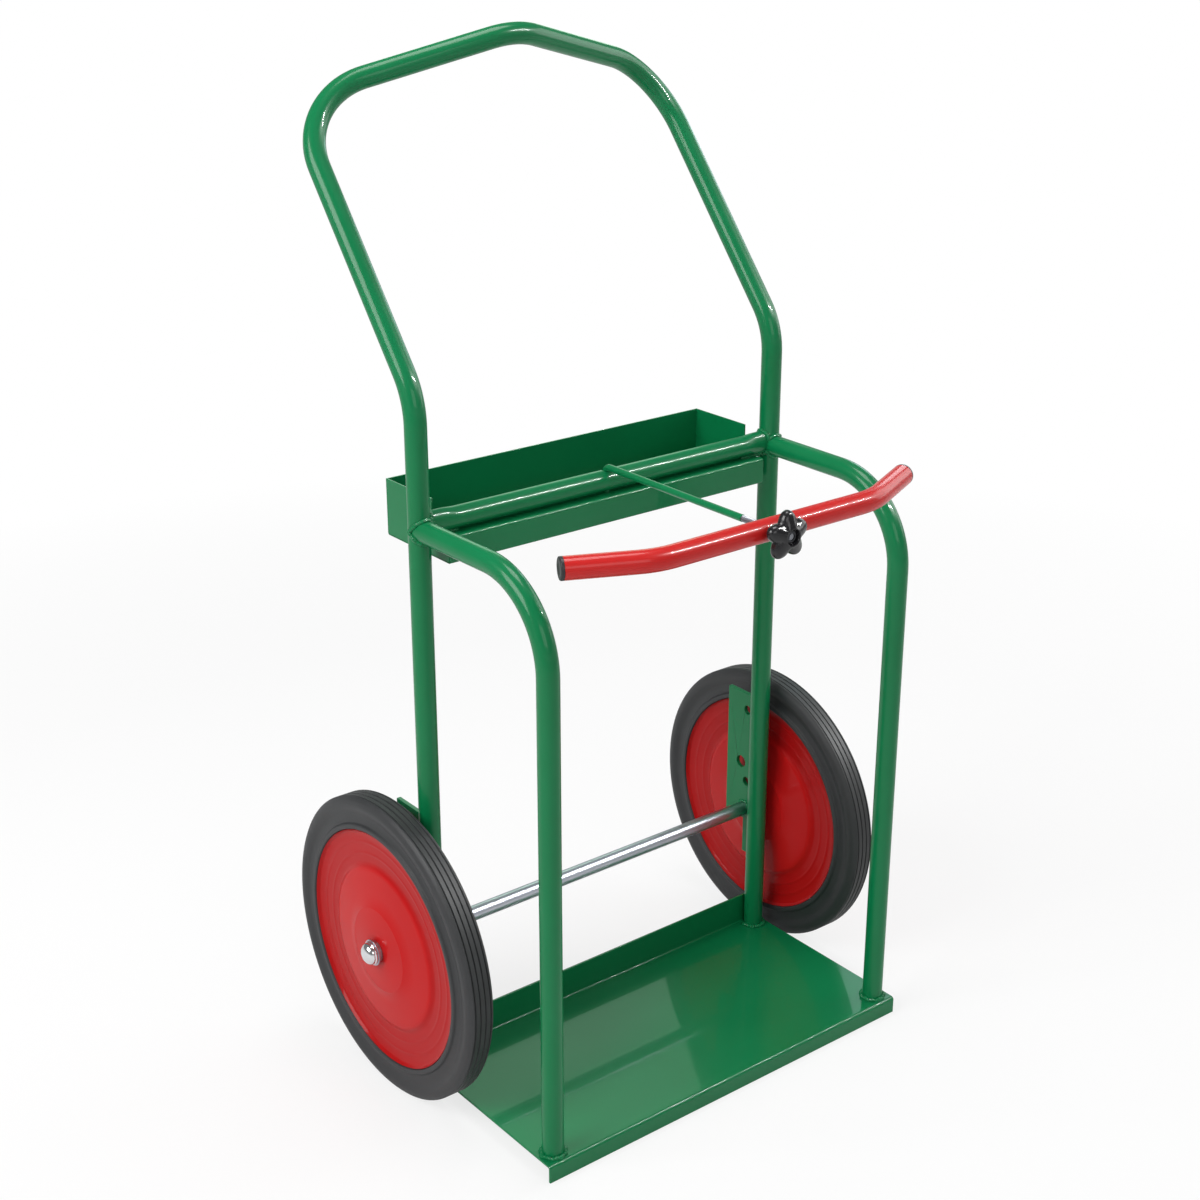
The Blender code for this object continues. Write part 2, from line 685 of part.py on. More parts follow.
def make_clamp(looks, root):
    swivel = empty("clamp_swivel_axis", (0, 0, ROD_HEIGHT), root)
    make_clamp_rod(looks["green"], swivel)
    slide = empty("clamp_bar_axis", (0, -CLAMP_REACH, 0), swivel)
    make_clamp_bar(looks, slide)
    spare = ROD_RADIUS + ROD_HOLE_CLEARANCE
    quarter = -math.pi / 2
    washer = finish(
        ring_solid(spare, CLAMP_WASHER_DIAMETER / 2, CLAMP_WASHER_THICKNESS, HUB_FACETS),
        "clamp_washer",
        looks["steel"],
        slide,
        (0, -TUBE_RADIUS - SEAT_GAP, 0),
    )
    washer.rotation_euler = (0, 0, quarter)
    knob = empty("clamp_knob_axis", (0, 0, 0), slide)
    make_clamp_knob(looks["plastic"], knob)
    insert = finish(
        ring_solid(spare, INSERT_DIAMETER / 2, KNOB_LENGTH - KNOB_RECESS_DEPTH, HUB_FACETS),
        "knob_insert",
        looks["steel"],
        knob,
        (0, -KNOB_BACK, 0),
    )
    insert.rotation_euler = (0, 0, quarter)


def drill_for_hook(targets, root):
    """The hole that the rod's hook drops through, in the cross tube and the tray's flange. It is drawn
    out forwards as far as the bend's inner side reaches into the tube."""
    start = (0, 0, CROSS_TUBE_HEIGHT - TUBE_OD)
    bm = drill(start, (0, 0, 1), 2 * TUBE_OD, 2 * HOOK_HOLE_RADIUS)
    bend_reach = HOOK_RADIUS - (HOOK_RADIUS - ROD_RADIUS) * math.cos(math.pi / 4)
    forward = [corner for corner in bm.verts if corner.co.y < -SEAT_GAP]
    bmesh.ops.translate(bm, verts=forward, vec=(0, ROD_RADIUS - bend_reach, 0))
    tool = helper(bm, "hook_drill", root)
    for target in targets:
        combine(target, tool, "DIFFERENCE")


def centre_on_floor(root):
    """Moves the whole trolley so that the origin is under the middle of its box, on the floor."""
    bpy.context.view_layer.update()
    graph = bpy.context.evaluated_depsgraph_get()
    corners = []
    for piece in bpy.context.scene.objects:
        if piece.type == "MESH" and not piece.hide_render:
            evaluated = piece.evaluated_get(graph)
            corners += [evaluated.matrix_world @ Vector(corner) for corner in evaluated.bound_box]
    lows = [min(corner[axis] for corner in corners) for axis in range(3)]
    highs = [max(corner[axis] for corner in corners) for axis in range(3)]
    root.location = (-(lows[0] + highs[0]) / 2, -(lows[1] + highs[1]) / 2, -lows[2])
    bpy.context.view_layer.update()


def main():
    clear_scene()
    looks = {
        "green": material("green_paint", PAINT_GREEN, 0.28, 0.0),
        "red": material("red_paint", PAINT_RED, 0.25, 0.0),
        "rubber": material("black_rubber", RUBBER_BLACK, 0.60, 0.0),
        "plastic": material("black_plastic", PLASTIC_BLACK, 0.30, 0.0),
        "steel": material("bare_steel", STEEL, 0.35, 1.0),
        "chrome": material("chrome", CHROME, 0.08, 1.0),
    }
    root = empty("trolley", (0, 0, 0))
    make_base_plate(looks["green"], root)
    make_rear_frame(looks["green"], root)
    cross = make_cross_tube(looks["green"], root)
    tray = make_tool_tray(looks["green"], root)
    drill_for_hook((cross, tray), root)
    make_axle(looks["steel"], root)
    for side in ("left", "right"):
        make_side_arm(side, looks["green"], root)
        make_axle_bracket(side, looks["green"], root)
        make_wheel(side, looks, root)
    make_clamp(looks, root)
    centre_on_floor(root)


main()
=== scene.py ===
# %% [markdown]
# # A trolley for two gas cylinders
# The real object is a hand trolley welded from steel tube and sheet, sprayed with gloss green enamel.
# Its measured solids are loaded first. They fix every size, and they turn and slide at the joints.
# Each cell then makes one kind of visible piece at the same place, with the folds, beads, seams and
# pressings that the plain solids leave out.

# %% Load the measured frame
import math

import bmesh
import bpy
from mathutils import Matrix, Vector


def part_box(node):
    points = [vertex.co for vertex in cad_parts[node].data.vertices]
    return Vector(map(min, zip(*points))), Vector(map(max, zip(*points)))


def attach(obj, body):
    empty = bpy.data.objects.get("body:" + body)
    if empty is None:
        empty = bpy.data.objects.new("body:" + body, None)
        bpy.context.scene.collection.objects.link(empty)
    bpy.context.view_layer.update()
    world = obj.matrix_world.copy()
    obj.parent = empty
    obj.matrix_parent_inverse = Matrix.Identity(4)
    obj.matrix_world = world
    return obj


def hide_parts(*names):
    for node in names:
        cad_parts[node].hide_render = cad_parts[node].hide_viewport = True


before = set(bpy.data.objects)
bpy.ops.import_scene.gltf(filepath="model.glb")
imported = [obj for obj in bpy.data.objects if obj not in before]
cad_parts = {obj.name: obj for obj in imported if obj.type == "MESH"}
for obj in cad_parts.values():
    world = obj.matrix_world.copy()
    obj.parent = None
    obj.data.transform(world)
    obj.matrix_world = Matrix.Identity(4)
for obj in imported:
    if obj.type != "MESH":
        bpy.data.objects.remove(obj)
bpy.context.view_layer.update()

# %% [markdown]
# ## Sizes
# The trolley stands on stock sizes: 26.9 mm tube, a 20 mm axle, an M8 rod and 400 mm wheels. The places
# are read off the solids, so a piece can't drift away from the solid that it stands for. The bend radii
# can't be read off a box, so each cell names them as the tube bender was set.

# %% Read the places off the solids
TUBE_RADIUS = 0.01345
SEAT_GAP = 0.0003
SIDES = (("left", -1), ("right", 1))


def middle(node):
    low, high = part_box(node)
    return (low + high) / 2


PLANE_Y = middle("cross_tube").y
CROSS_TUBE_Z = middle("cross_tube").z
AXLE_Y = middle("axle").y
AXLE_Z = middle("axle").z
UPRIGHT_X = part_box("rear_frame")[1].x - TUBE_RADIUS
DECK_LOW, DECK_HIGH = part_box("base_plate")
TRAY_LOW, TRAY_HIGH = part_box("tool_tray")
DECK_TOP = 0.0235
ARM_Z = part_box("left_side_arm")[1].z - TUBE_RADIUS
print(f"uprights at x ±{UPRIGHT_X:.4f}, plane y {PLANE_Y:.4f}, axle y {AXLE_Y:.4f} z {AXLE_Z:.4f}")

# %% [markdown]
# ## Drawing a section along a path
# A bent tube is a ring drawn straight, then swung round the bend's centre, then drawn straight again,
# as on a real bender. A folded sheet is the same walk with one long edge instead of a ring. So one
# function walks any open section along a run of corners, with an extrude for each leg and a spin for
# each bend. Curves with a bevel would be quicker, but the operators give exact radii and clean ends.

# %% Walk a section along corners
TUBE_SIDES = 40
BEND_STEP = math.radians(4)


def of_kind(parts, kind):
    return [part for part in parts if isinstance(part, kind)]


def draw_out(bm, section, vector):
    """Extrudes open edges straight and returns the edges at the far end."""
    made = bmesh.ops.extrude_edge_only(bm, edges=section)["geom"]
    bmesh.ops.translate(bm, verts=of_kind(made, bmesh.types.BMVert), vec=vector)
    return of_kind(made, bmesh.types.BMEdge)


def swing(bm, section, centre, axis, angle):
    """Spins open edges round a bend and returns the edges at its end."""
    steps = max(2, math.ceil(abs(angle) / BEND_STEP))
    made = bmesh.ops.spin(bm, geom=section, cent=centre, axis=axis, angle=angle, steps=steps)
    return of_kind(made["geom_last"], bmesh.types.BMEdge)


def walk(bm, section, corners, radii):
    """Carries a section from the first corner to the last, with one bend radius for each inner corner."""
    corners = [Vector(corner) for corner in corners]
    here, ahead = corners[0], (corners[1] - corners[0]).normalized()
    for corner, after, radius in zip(corners[1:], corners[2:], radii):
        following = (after - corner).normalized()
        turn = ahead.angle(following)
        start = corner - ahead * radius * math.tan(turn / 2)
        section = draw_out(bm, section, start - here)
        axis = ahead.cross(following).normalized()
        section = swing(bm, section, start + axis.cross(ahead) * radius, axis, turn)
        here, ahead = corner + following * radius * math.tan(turn / 2), following
    return draw_out(bm, section, corners[-1] - here)


def ring(bm, place, ahead, radius, sides=TUBE_SIDES):
    """A circle of edges square to the path."""
    known = len(bm.edges)
    turn = Vector(ahead).to_track_quat("Z", "Y").to_matrix().to_4x4()
    place = Matrix.Translation(place)
    bmesh.ops.create_circle(bm, segments=sides, radius=radius, matrix=place @ turn)
    bm.edges.ensure_lookup_table()
    return bm.edges[known:]


def close_ends(bm, *ends):
    """Fills end rings, with one face each."""
    for end in ends:
        bmesh.ops.edgeloop_fill(bm, edges=end)


def tube(corners, radius, bend_radius, sides=TUBE_SIDES):
    """A closed bent tube and its two end rings' vertices."""
    bm = bmesh.new()
    ahead = Vector(corners[1]) - Vector(corners[0])
    first = ring(bm, corners[0], ahead, radius, sides)
    last = walk(bm, first, corners, [bend_radius] * (len(corners) - 2))
    close_ends(bm, first, last)
    ends = [sorted({v for edge in end for v in edge.verts}, key=lambda v: v.co[:]) for end in (first, last)]
    return bm, ends


# %% [markdown]
# ## Turned parts
# Tyres, discs, washers and caps are all round, so each is half a section spun about the axle. Round
# corners are bevelled on the open section before it is spun, which keeps every radius exact and even.

# %% Spin a section about the axle
WHEEL_STEPS = 128


def turned(profile, rounds=(), steps=WHEEL_STEPS, closed=True, place=(0, 0, 0), sign=1):
    """Spins (x, radius) points about X. rounds pairs a point's number with its corner radius."""
    bm = bmesh.new()
    points = [bm.verts.new((sign * x, 0, radius)) for x, radius in profile]
    pairs = list(zip(points, points[1:] + points[:1] if closed else points[1:]))
    for pair in pairs:
        bm.edges.new(pair)
    for number, size in rounds:
        bmesh.ops.bevel(
            bm, geom=[points[number]], offset=size, segments=5, profile=0.5, affect="VERTICES", material=-1
        )
    line = bm.verts[:] + bm.edges[:]
    bmesh.ops.spin(bm, geom=line, axis=(1, 0, 0), angle=2 * math.pi, steps=steps, use_merge=True)
    bmesh.ops.remove_doubles(bm, verts=bm.verts, dist=1e-6)
    bmesh.ops.translate(bm, verts=bm.verts, vec=place)
    return bm


# %% [markdown]
# ## From mesh to piece
# A finished piece stays at the origin with its place in its mesh. It rides on the body that carries the
# real part, takes its finish, and stands for the plain solid that it covers. Edges sharper than a set
# angle stay crisp, and the rest shade smooth.

# %% Make a piece
CRISP_ANGLE = math.radians(35)


def placed(name, bm):
    """A new object that takes over a bmesh."""
    mesh = bpy.data.meshes.new(name)
    bm.to_mesh(mesh)
    bm.free()
    made = bpy.data.objects.new(name, mesh)
    bpy.context.scene.collection.objects.link(made)
    return made


def piece(name, bm, look, body, slot, *nodes):
    """A named object from a bmesh, on its body, in the place of the CAD nodes given."""
    bmesh.ops.recalc_face_normals(bm, faces=bm.faces)
    made = placed(name, bm)
    mesh = made.data
    mesh.materials.append(look)
    mesh.shade_smooth()
    mesh.set_sharp_from_angle(angle=CRISP_ANGLE)
    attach(made, body)
    if nodes:
        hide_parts(*nodes)
    print(f"{name}: {len(mesh.polygons)} faces on {body}")
    return made


def soften(made, width):
    """Rounds a sheet's cut edges with a live bevel."""
    bevel = made.modifiers.new("edge", "BEVEL")
    bevel.width = width
    bevel.segments = 3
    bevel.limit_method = "ANGLE"
    bevel.angle_limit = math.radians(40)
    bevel.harden_normals = False


# %% [markdown]
# ## Shader arithmetic
# A finish is a few lines of sums on noise. Written as node calls they are hard to read, so one small
# class wraps a socket and lets plain Python expressions add the Math nodes. Colours never pass through
# a Math node, which would turn them grey: they go through Mix.

# %% Wrap sockets for sums
class Wire:
    """A node's output on which sums can be written."""

    def __init__(self, finish, socket):
        self.finish = finish
        self.socket = socket

    def sum(self, operation, first, second):
        return self.finish.node("ShaderNodeMath", {"operation": operation}, {0: first, 1: second})

    def __add__(self, other):
        return self.sum("ADD", self, other)

    def __radd__(self, other):
        return self.sum("ADD", other, self)

    def __sub__(self, other):
        return self.sum("SUBTRACT", self, other)

    def __rsub__(self, other):
        return self.sum("SUBTRACT", other, self)

    def __mul__(self, other):
        return self.sum("MULTIPLY", self, other)

    def __rmul__(self, other):
        return self.sum("MULTIPLY", other, self)


class Finish:
    """A material in the making, with one Principled surface."""

    def __init__(self, name, **fixed):
        self.material = bpy.data.materials.new(name)
        self.material.use_nodes = True
        self.tree = self.material.node_tree
        self.surface = self.tree.nodes["Principled BSDF"]
        self.put(self.surface, {key.replace("_", " "): value for key, value in fixed.items()})
        self.place = self.node("ShaderNodeTexCoord", out="Object")

    def put(self, node, sockets):
        """Sets values or links wires on a node's inputs."""
        for key, value in sockets.items():
            if isinstance(value, Wire):
                self.tree.links.new(value.socket, node.inputs[key])
            else:
                node.inputs[key].default_value = value

    def node(self, kind, settings=None, sockets=None, out=0):
        """Adds a node, with its settings first, and returns the wire of one of its outputs."""
        made = self.tree.nodes.new(kind)
        for key, value in (settings or {}).items():
            if key == "stops":
                for stop, (position, shade) in zip(made.color_ramp.elements, value):
                    stop.position = position
                    stop.color = (shade, shade, shade, 1.0)
            else:
                setattr(made, key, value)
        self.put(made, sockets or {})
        return Wire(self, made.outputs[out])

    def noise(self, scale, detail=2.0, stretch=(1, 1, 1), roughness=0.5):
        """Cloudy noise from 0 to 1. scale is in lumps per metre."""
        place = self.node("ShaderNodeMapping", None, {"Vector": self.place, "Scale": stretch})
        sockets = {"Vector": place, "Scale": scale, "Detail": detail, "Roughness": roughness}
        return self.node("ShaderNodeTexNoise", None, sockets)

    def between(self, factor, first, second):
        """A colour mixed from two, by a factor that varies."""
        ends = [value if isinstance(value, Wire) else (*value, 1.0) for value in (first, second)]
        sockets = {0: factor, 6: ends[0], 7: ends[1]}
        return self.node("ShaderNodeMix", {"data_type": "RGBA"}, sockets, out=2)

    def ramp(self, factor, low, high):
        """A number that runs from one (position, value) stop to another."""
        return self.node("ShaderNodeValToRGB", {"stops": (low, high)}, {"Fac": factor})

    def relief(self, height, distance, strength=1.0, under=None):
        """A bump of a height wire, over another bump where one is given."""
        sockets = {"Height": height, "Distance": distance, "Strength": strength}
        if under:
            sockets["Normal"] = under
        return self.node("ShaderNodeBump", None, sockets)

    def done(self, **varying):
        self.put(self.surface, {key.replace("_", " "): value for key, value in varying.items()})
        return self.material


# %% [markdown]
# ## Green and red gloss enamel
# The frame is sprayed after welding. Gloss enamel on tube is smooth, but never a mirror: it has a long
# low orange peel that makes highlights swim a little, the colour thins slightly where the coat is thin,
# and fine dust dulls it in soft patches. So the gloss comes from a coat over a satin base, a low bump
# stands for the peel, and slow noise shifts colour and roughness. On the wheels a painted shade darkens
# the red in the sunken ring, standing in for the shade that falls in that recess.

# %% Mix the enamels
# The painted shade of the wheels' sunken ring: where it starts, where it is full, and its largest share.
RING_START = 0.1055
RING_FULL = 0.111
RING_SHARE = 0.55


def painted_ring_shade(made):
    """The share of painted shade, from 0 on a wheel's raised middle to its full share on the sunken ring, by
    distance from the axle.
    """
    axle = (0.0, AXLE_Y, AXLE_Z)
    offset = made.node("ShaderNodeVectorMath", {"operation": "SUBTRACT"}, {0: made.place, 1: axle})
    across = made.node("ShaderNodeVectorMath", {"operation": "MULTIPLY"}, {0: offset, 1: (0.0, 1.0, 1.0)})
    distance = made.node("ShaderNodeVectorMath", {"operation": "LENGTH"}, {0: across}, out="Value")
    return made.ramp(distance, (RING_START, 0.0), (RING_FULL, RING_SHARE))


def enamel(name, deep, full, peel, gloss=1.0, ring_shade=None):
    """Sprayed gloss paint between a deeper and a fuller shade, with a painted shade on a wheel's sunken ring
    where one is given.
    """
    made = Finish(name, IOR=1.5, Coat_Roughness=0.04, Specular_IOR_Level=0.16 * gloss)
    drift = made.noise(7.0, 3.0)
    colour = made.between(drift, deep, full)
    # Paint the shade that falls in a wheel's sunken ring into the red.
    if ring_shade:
        colour = made.between(painted_ring_shade(made), colour, ring_shade)
    haze = made.noise(16.0, 4.0, roughness=0.6)
    roughness = 0.24 + haze * 0.14
    wave = made.relief(made.noise(60.0, 1.0), 0.0005 * peel, 0.25)
    bump = made.relief(made.noise(420.0, 1.0), 0.0001 * peel, 0.12, wave)
    coat = 0.2 * gloss + haze * 0.16 * gloss
    return made.done(Base_Color=colour, Roughness=roughness, Coat_Weight=coat, Normal=bump)


GREEN = enamel("green enamel", (0.002, 0.16, 0.05), (0.004, 0.2, 0.07), 0.3)
BAR_RED = enamel("bar red enamel", (0.53, 0.012, 0.012), (0.65, 0.018, 0.016), 0.2, 1.1)
# A darker red painted on the wheels' sunken ring, as the shade in that recess.
RING_SHADE_RED = (0.34, 0.004, 0.005)
WHEEL_RED = enamel("wheel red enamel", (0.45, 0.007, 0.008), (0.56, 0.010, 0.010), 0.15, 0.45, RING_SHADE_RED)

# %% [markdown]
# ## Rubber, steel, chrome and plastic
# Solid tyres are satin black rubber with a dusty bloom. The axle is drawn bar, left bare: its scratches
# run along it, so the noise is stretched along X. Caps and washers are plated. The knob is moulded in
# gloss black plastic, the bar's plugs in a duller one.

# %% Mix the other finishes
def rubber():
    made = Finish("tyre rubber", IOR=1.5, Specular_IOR_Level=0.5)
    bloom = made.noise(22.0, 5.0, roughness=0.65)
    colour = made.between(bloom, (0.016, 0.017, 0.019), (0.036, 0.038, 0.040))
    bump = made.relief(made.noise(900.0, 2.0), 0.00012, 0.6)
    return made.done(Base_Color=colour, Roughness=0.42 + bloom * 0.22, Normal=bump)


def drawn_steel(name, low, high, roughness, stretch):
    made = Finish(name, Metallic=1.0)
    streak = made.noise(160.0, 4.0, stretch=stretch, roughness=0.7)
    stain = made.noise(30.0, 3.0)
    colour = made.between(streak * 0.6 + stain * 0.4, low, high)
    bump = made.relief(streak, 0.00004, 0.5)
    return made.done(Base_Color=colour, Roughness=roughness + streak * 0.18, Normal=bump)


def plastic(name, colour, lighter, roughness):
    made = Finish(name, IOR=1.49, Specular_IOR_Level=0.5)
    grain = made.noise(60.0, 3.0)
    bump = made.relief(made.noise(1500.0, 1.0), 0.00002, 0.4)
    shade = made.between(grain, colour, lighter)
    return made.done(Base_Color=shade, Roughness=roughness + grain * 0.1, Normal=bump)


RUBBER = rubber()
AXLE_STEEL = drawn_steel("drawn steel", (0.44, 0.46, 0.52), (0.60, 0.62, 0.69), 0.24, (0.02, 1, 1))
DULL_STEEL = drawn_steel("dull zinc", (0.20, 0.21, 0.23), (0.34, 0.35, 0.38), 0.34, (1, 1, 1))
OXIDE_STEEL = drawn_steel("black oxide", (0.045, 0.047, 0.05), (0.09, 0.092, 0.1), 0.3, (1, 1, 1))
CHROME = drawn_steel("chrome plate", (0.70, 0.71, 0.73), (0.82, 0.83, 0.85), 0.06, (1, 1, 1))
KNOB_PLASTIC = plastic("knob plastic", (0.008, 0.008, 0.009), (0.014, 0.014, 0.016), 0.16)
PLUG_PLASTIC = plastic("plug plastic", (0.014, 0.014, 0.016), (0.024, 0.024, 0.026), 0.38)

# %% [markdown]
# ## The back frame
# One length of tube makes both uprights and the handle. It rises from the deck, leans back, and closes
# over a low peak where the hands grip. All five bends share the bender's one radius.

# %% Bend the back frame
FRAME_BEND = 0.095
LEAN_Z = 0.9122
SHOULDER = (0.274, 0.29409, 1.21891)
PEAK = (0, 0.22209, 1.28731)
half_frame = [(-UPRIGHT_X, PLANE_Y, DECK_TOP), (-UPRIGHT_X, PLANE_Y, LEAN_Z), (-SHOULDER[0], *SHOULDER[1:])]
frame_corners = half_frame + [PEAK] + [(-x, y, z) for x, y, z in reversed(half_frame)]
frame_mesh, _ = tube(frame_corners, TUBE_RADIUS, FRAME_BEND)
piece("back_frame", frame_mesh, GREEN, "chassis", "green_paint", "rear_frame")

# %% [markdown]
# ## The side arms
# Each arm runs forward from its upright, bends down over the cylinders and stands on the deck. Its back
# end is sawn to a saddle that hugs the upright, so the end ring's vertices move onto the upright.

# %% Bend the arms and cope their ends
ARM_BEND = 0.107
ARM_FOOT_X = 0.2744
ARM_FOOT_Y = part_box("left_side_arm")[0].y + TUBE_RADIUS


def onto_upright(vertices, sign):
    """Moves an end ring back or forward onto the round face of an upright."""
    for vertex in vertices:
        across = vertex.co.x - sign * UPRIGHT_X
        depth = math.sqrt(max(TUBE_RADIUS**2 - across**2, 0))
        vertex.co.y = PLANE_Y - depth


for side, sign in SIDES:
    arm_corners = [
        (sign * UPRIGHT_X, PLANE_Y - TUBE_RADIUS, ARM_Z),
        (sign * ARM_FOOT_X, ARM_FOOT_Y, ARM_Z),
        (sign * ARM_FOOT_X, ARM_FOOT_Y, DECK_TOP),
    ]
    arm_mesh, arm_ends = tube(arm_corners, TUBE_RADIUS, ARM_BEND)
    onto_upright(arm_ends[0], sign)
    piece(f"{side}_arm", arm_mesh, GREEN, "chassis", "green_paint", f"{side}_side_arm")

# %% [markdown]
# ## The cross tube
# The tube between the uprights has its ends pressed to a taller, thinner oval so that they meet the
# uprights without a saddle cut. The ring is scaled as it is drawn along, with a smooth shoulder.

# %% Press and place the cross tube
PRESSED_LENGTH = 0.038
PRESSED_FLAT = 0.015
PRESSED_TALL = 0.030 / 2 / TUBE_RADIUS
PRESSED_DEEP = 0.0215 / 2 / TUBE_RADIUS
PRESS_STEPS = 8


def pressed(amount):
    """The ring's (depth, height) factors, from 0 for round to 1 for fully pressed."""
    smooth = amount * amount * (3 - 2 * amount)
    return 1 + (PRESSED_DEEP - 1) * smooth, 1 + (PRESSED_TALL - 1) * smooth


def cross_tube():
    """The tube with both ends pressed and cut to the uprights."""
    bm = bmesh.new()
    reach = UPRIGHT_X - TUBE_RADIUS
    centre = Vector((0, PLANE_Y, CROSS_TUBE_Z))
    shoulder = PRESSED_LENGTH - PRESSED_FLAT
    stations = [(0.0, 1.0), (PRESSED_FLAT, 1.0)]
    for step in range(1, PRESS_STEPS + 1):
        stations.append((PRESSED_FLAT + shoulder * step / PRESS_STEPS, 1 - step / PRESS_STEPS))
    stations += [(2 * reach - along, amount) for along, amount in reversed(stations)]
    section = ring(bm, centre - Vector((reach, 0, 0)), (1, 0, 0), TUBE_RADIUS)
    first, here, now = section, 0.0, (1.0, 1.0)
    for along, amount in stations:
        if along > here:
            section = draw_out(bm, section, (along - here, 0, 0))
            here = along
        wanted = pressed(amount)
        vertices = list({v: None for edge in section for v in edge.verts})
        factors = (1, wanted[0] / now[0], wanted[1] / now[1])
        bmesh.ops.scale(bm, vec=factors, space=Matrix.Translation(-centre), verts=vertices)
        now = wanted
    for end, sign in ((first, -1), (section, 1)):
        bmesh.ops.edgeloop_fill(bm, edges=end)
        for vertex in {v: None for edge in end for v in edge.verts}:
            back = math.sqrt(max(TUBE_RADIUS**2 - (vertex.co.y - PLANE_Y) ** 2, 0))
            vertex.co.x = sign * (UPRIGHT_X - back)
    return bm


cross_bar = piece("cross_bar", cross_tube(), GREEN, "chassis", "green_paint", "cross_tube")

# %% [markdown]
# ## The hole for the hook
# The clamp's rod drops into a drilled hole on top of the cross tube, and a dark ring of it shows round
# the rod. A drill is a cutter solid and a Boolean modifier. The result is taken as the piece's mesh and
# the cutter thrown away, so nothing but the drilled tube is left. The clamp's bar is drilled the same way.

# %% Drill the cross tube
HOOK_HOLE = 0.0058
HOLE_DEPTH = 0.02
DRILL_SIDES = 36


def drilled(made, place, radius, depth, turn=Matrix()):
    """Cuts a round hole into a finished piece, upright unless it is turned."""
    bm = bmesh.new()
    place = Matrix.Translation(place) @ turn
    bmesh.ops.create_cone(
        bm, cap_ends=True, segments=DRILL_SIDES, radius1=radius, radius2=radius, depth=depth, matrix=place
    )
    cutter = placed("drill", bm)
    cut = made.modifiers.new("cut", "BOOLEAN")
    cut.operation, cut.solver, cut.object = "DIFFERENCE", "EXACT", cutter
    graph = bpy.context.evaluated_depsgraph_get()
    result = bpy.data.meshes.new_from_object(made.evaluated_get(graph))
    made.modifiers.clear()
    made.data = result
    bpy.data.objects.remove(cutter)
    print(f"{made.name}: drilled, {len(result.polygons)} faces")


drilled(cross_bar, (0, PLANE_Y, CROSS_TUBE_Z + TUBE_RADIUS), HOOK_HOLE, HOLE_DEPTH)

# %% [markdown]
# ## The deck
# The deck is one 3 mm sheet: a lip folded down at the front to stand on, and one folded up behind the
# uprights. One long edge is walked along that line and the sheet then gets its thickness downwards.

# %% Fold the deck
DECK_SHEET = 0.003
DECK_FOLD = 0.0045
TIGHT_FOLD = 0.0024
DECK_EDGE = 0.0004


def folded(corners, radii, half_width, thickness):
    """A sheet folded along X. Its thickness goes to the right of the walk, seen from +X."""
    bm = bmesh.new()
    y, z = corners[0]
    ends = [bm.verts.new((sign * half_width, y, z)) for sign in (-1, 1)]
    bm.edges.new(ends)
    walk(bm, bm.edges[:], [(0, *corner) for corner in corners], radii)
    bmesh.ops.recalc_face_normals(bm, faces=bm.faces)
    bmesh.ops.solidify(bm, geom=bm.faces[:], thickness=thickness)
    return bm


lip_face = PLANE_Y + TUBE_RADIUS + SEAT_GAP
deck_line = [(DECK_LOW.y, 0), (DECK_LOW.y, DECK_TOP), (lip_face, DECK_TOP), (lip_face, DECK_HIGH.z)]
deck_mesh = folded(deck_line, [DECK_FOLD, TIGHT_FOLD], DECK_HIGH.x, DECK_SHEET)
soften(piece("deck", deck_mesh, GREEN, "chassis", "green_paint", "base_plate"), DECK_EDGE)

# %% [markdown]
# ## The tool tray
# The tray hangs under the cross tube: a flange, a front, a floor and a taller back folded from 2 mm
# sheet, with a flat wall welded in at each end.

# %% Fold the tray
TRAY_SHEET = 0.002
TRAY_FOLD = 0.003
TRAY_EDGE = 0.0003
HOLE_SIDES = 48
FLANGE_TOP = 0.7447
FLANGE_REAR = 0.055073
tray_line = [
    (FLANGE_REAR, FLANGE_TOP),
    (TRAY_LOW.y, FLANGE_TOP),
    (TRAY_LOW.y, TRAY_LOW.z),
    (TRAY_HIGH.y, TRAY_LOW.z),
    (TRAY_HIGH.y, TRAY_HIGH.z),
]
tray_mesh = folded(tray_line, [TRAY_FOLD] * 3, TRAY_HIGH.x, TRAY_SHEET)
soften(piece("tray", tray_mesh, GREEN, "chassis", "green_paint", "tool_tray"), TRAY_EDGE)


def plate(outline, start, thickness, holes=()):
    """A flat plate from (y, z) corners, pushed out along X, with round (y, z, radius) holes."""
    bm = bmesh.new()
    corners = [bm.verts.new((start, y, z)) for y, z in outline]
    for pair in zip(corners, corners[1:] + corners[:1]):
        bm.edges.new(pair)
    for y, z, radius in holes:
        ring(bm, (start, y, z), (1, 0, 0), radius, HOLE_SIDES)
    bmesh.ops.triangle_fill(bm, use_beauty=True, edges=bm.edges[:])
    made = bmesh.ops.extrude_face_region(bm, geom=bm.faces[:])["geom"]
    bmesh.ops.translate(bm, verts=of_kind(made, bmesh.types.BMVert), vec=(thickness, 0, 0))
    return bm


WALL_INSET = 0.001
notch = lip_face + TRAY_SHEET
wall_outline = [
    (TRAY_LOW.y + WALL_INSET, TRAY_LOW.z + WALL_INSET),
    (TRAY_HIGH.y - WALL_INSET, TRAY_LOW.z + WALL_INSET),
    (TRAY_HIGH.y - WALL_INSET, TRAY_HIGH.z),
    (notch, TRAY_HIGH.z),
    (notch, FLANGE_TOP - WALL_INSET),
    (TRAY_LOW.y + WALL_INSET, FLANGE_TOP - WALL_INSET),
]
for side, start in (("left", TRAY_LOW.x), ("right", TRAY_HIGH.x - TRAY_SHEET)):
    wall_mesh = plate(wall_outline, start, TRAY_SHEET)
    soften(piece(f"{side}_tray_wall", wall_mesh, GREEN, "chassis", "green_paint"), TRAY_EDGE)

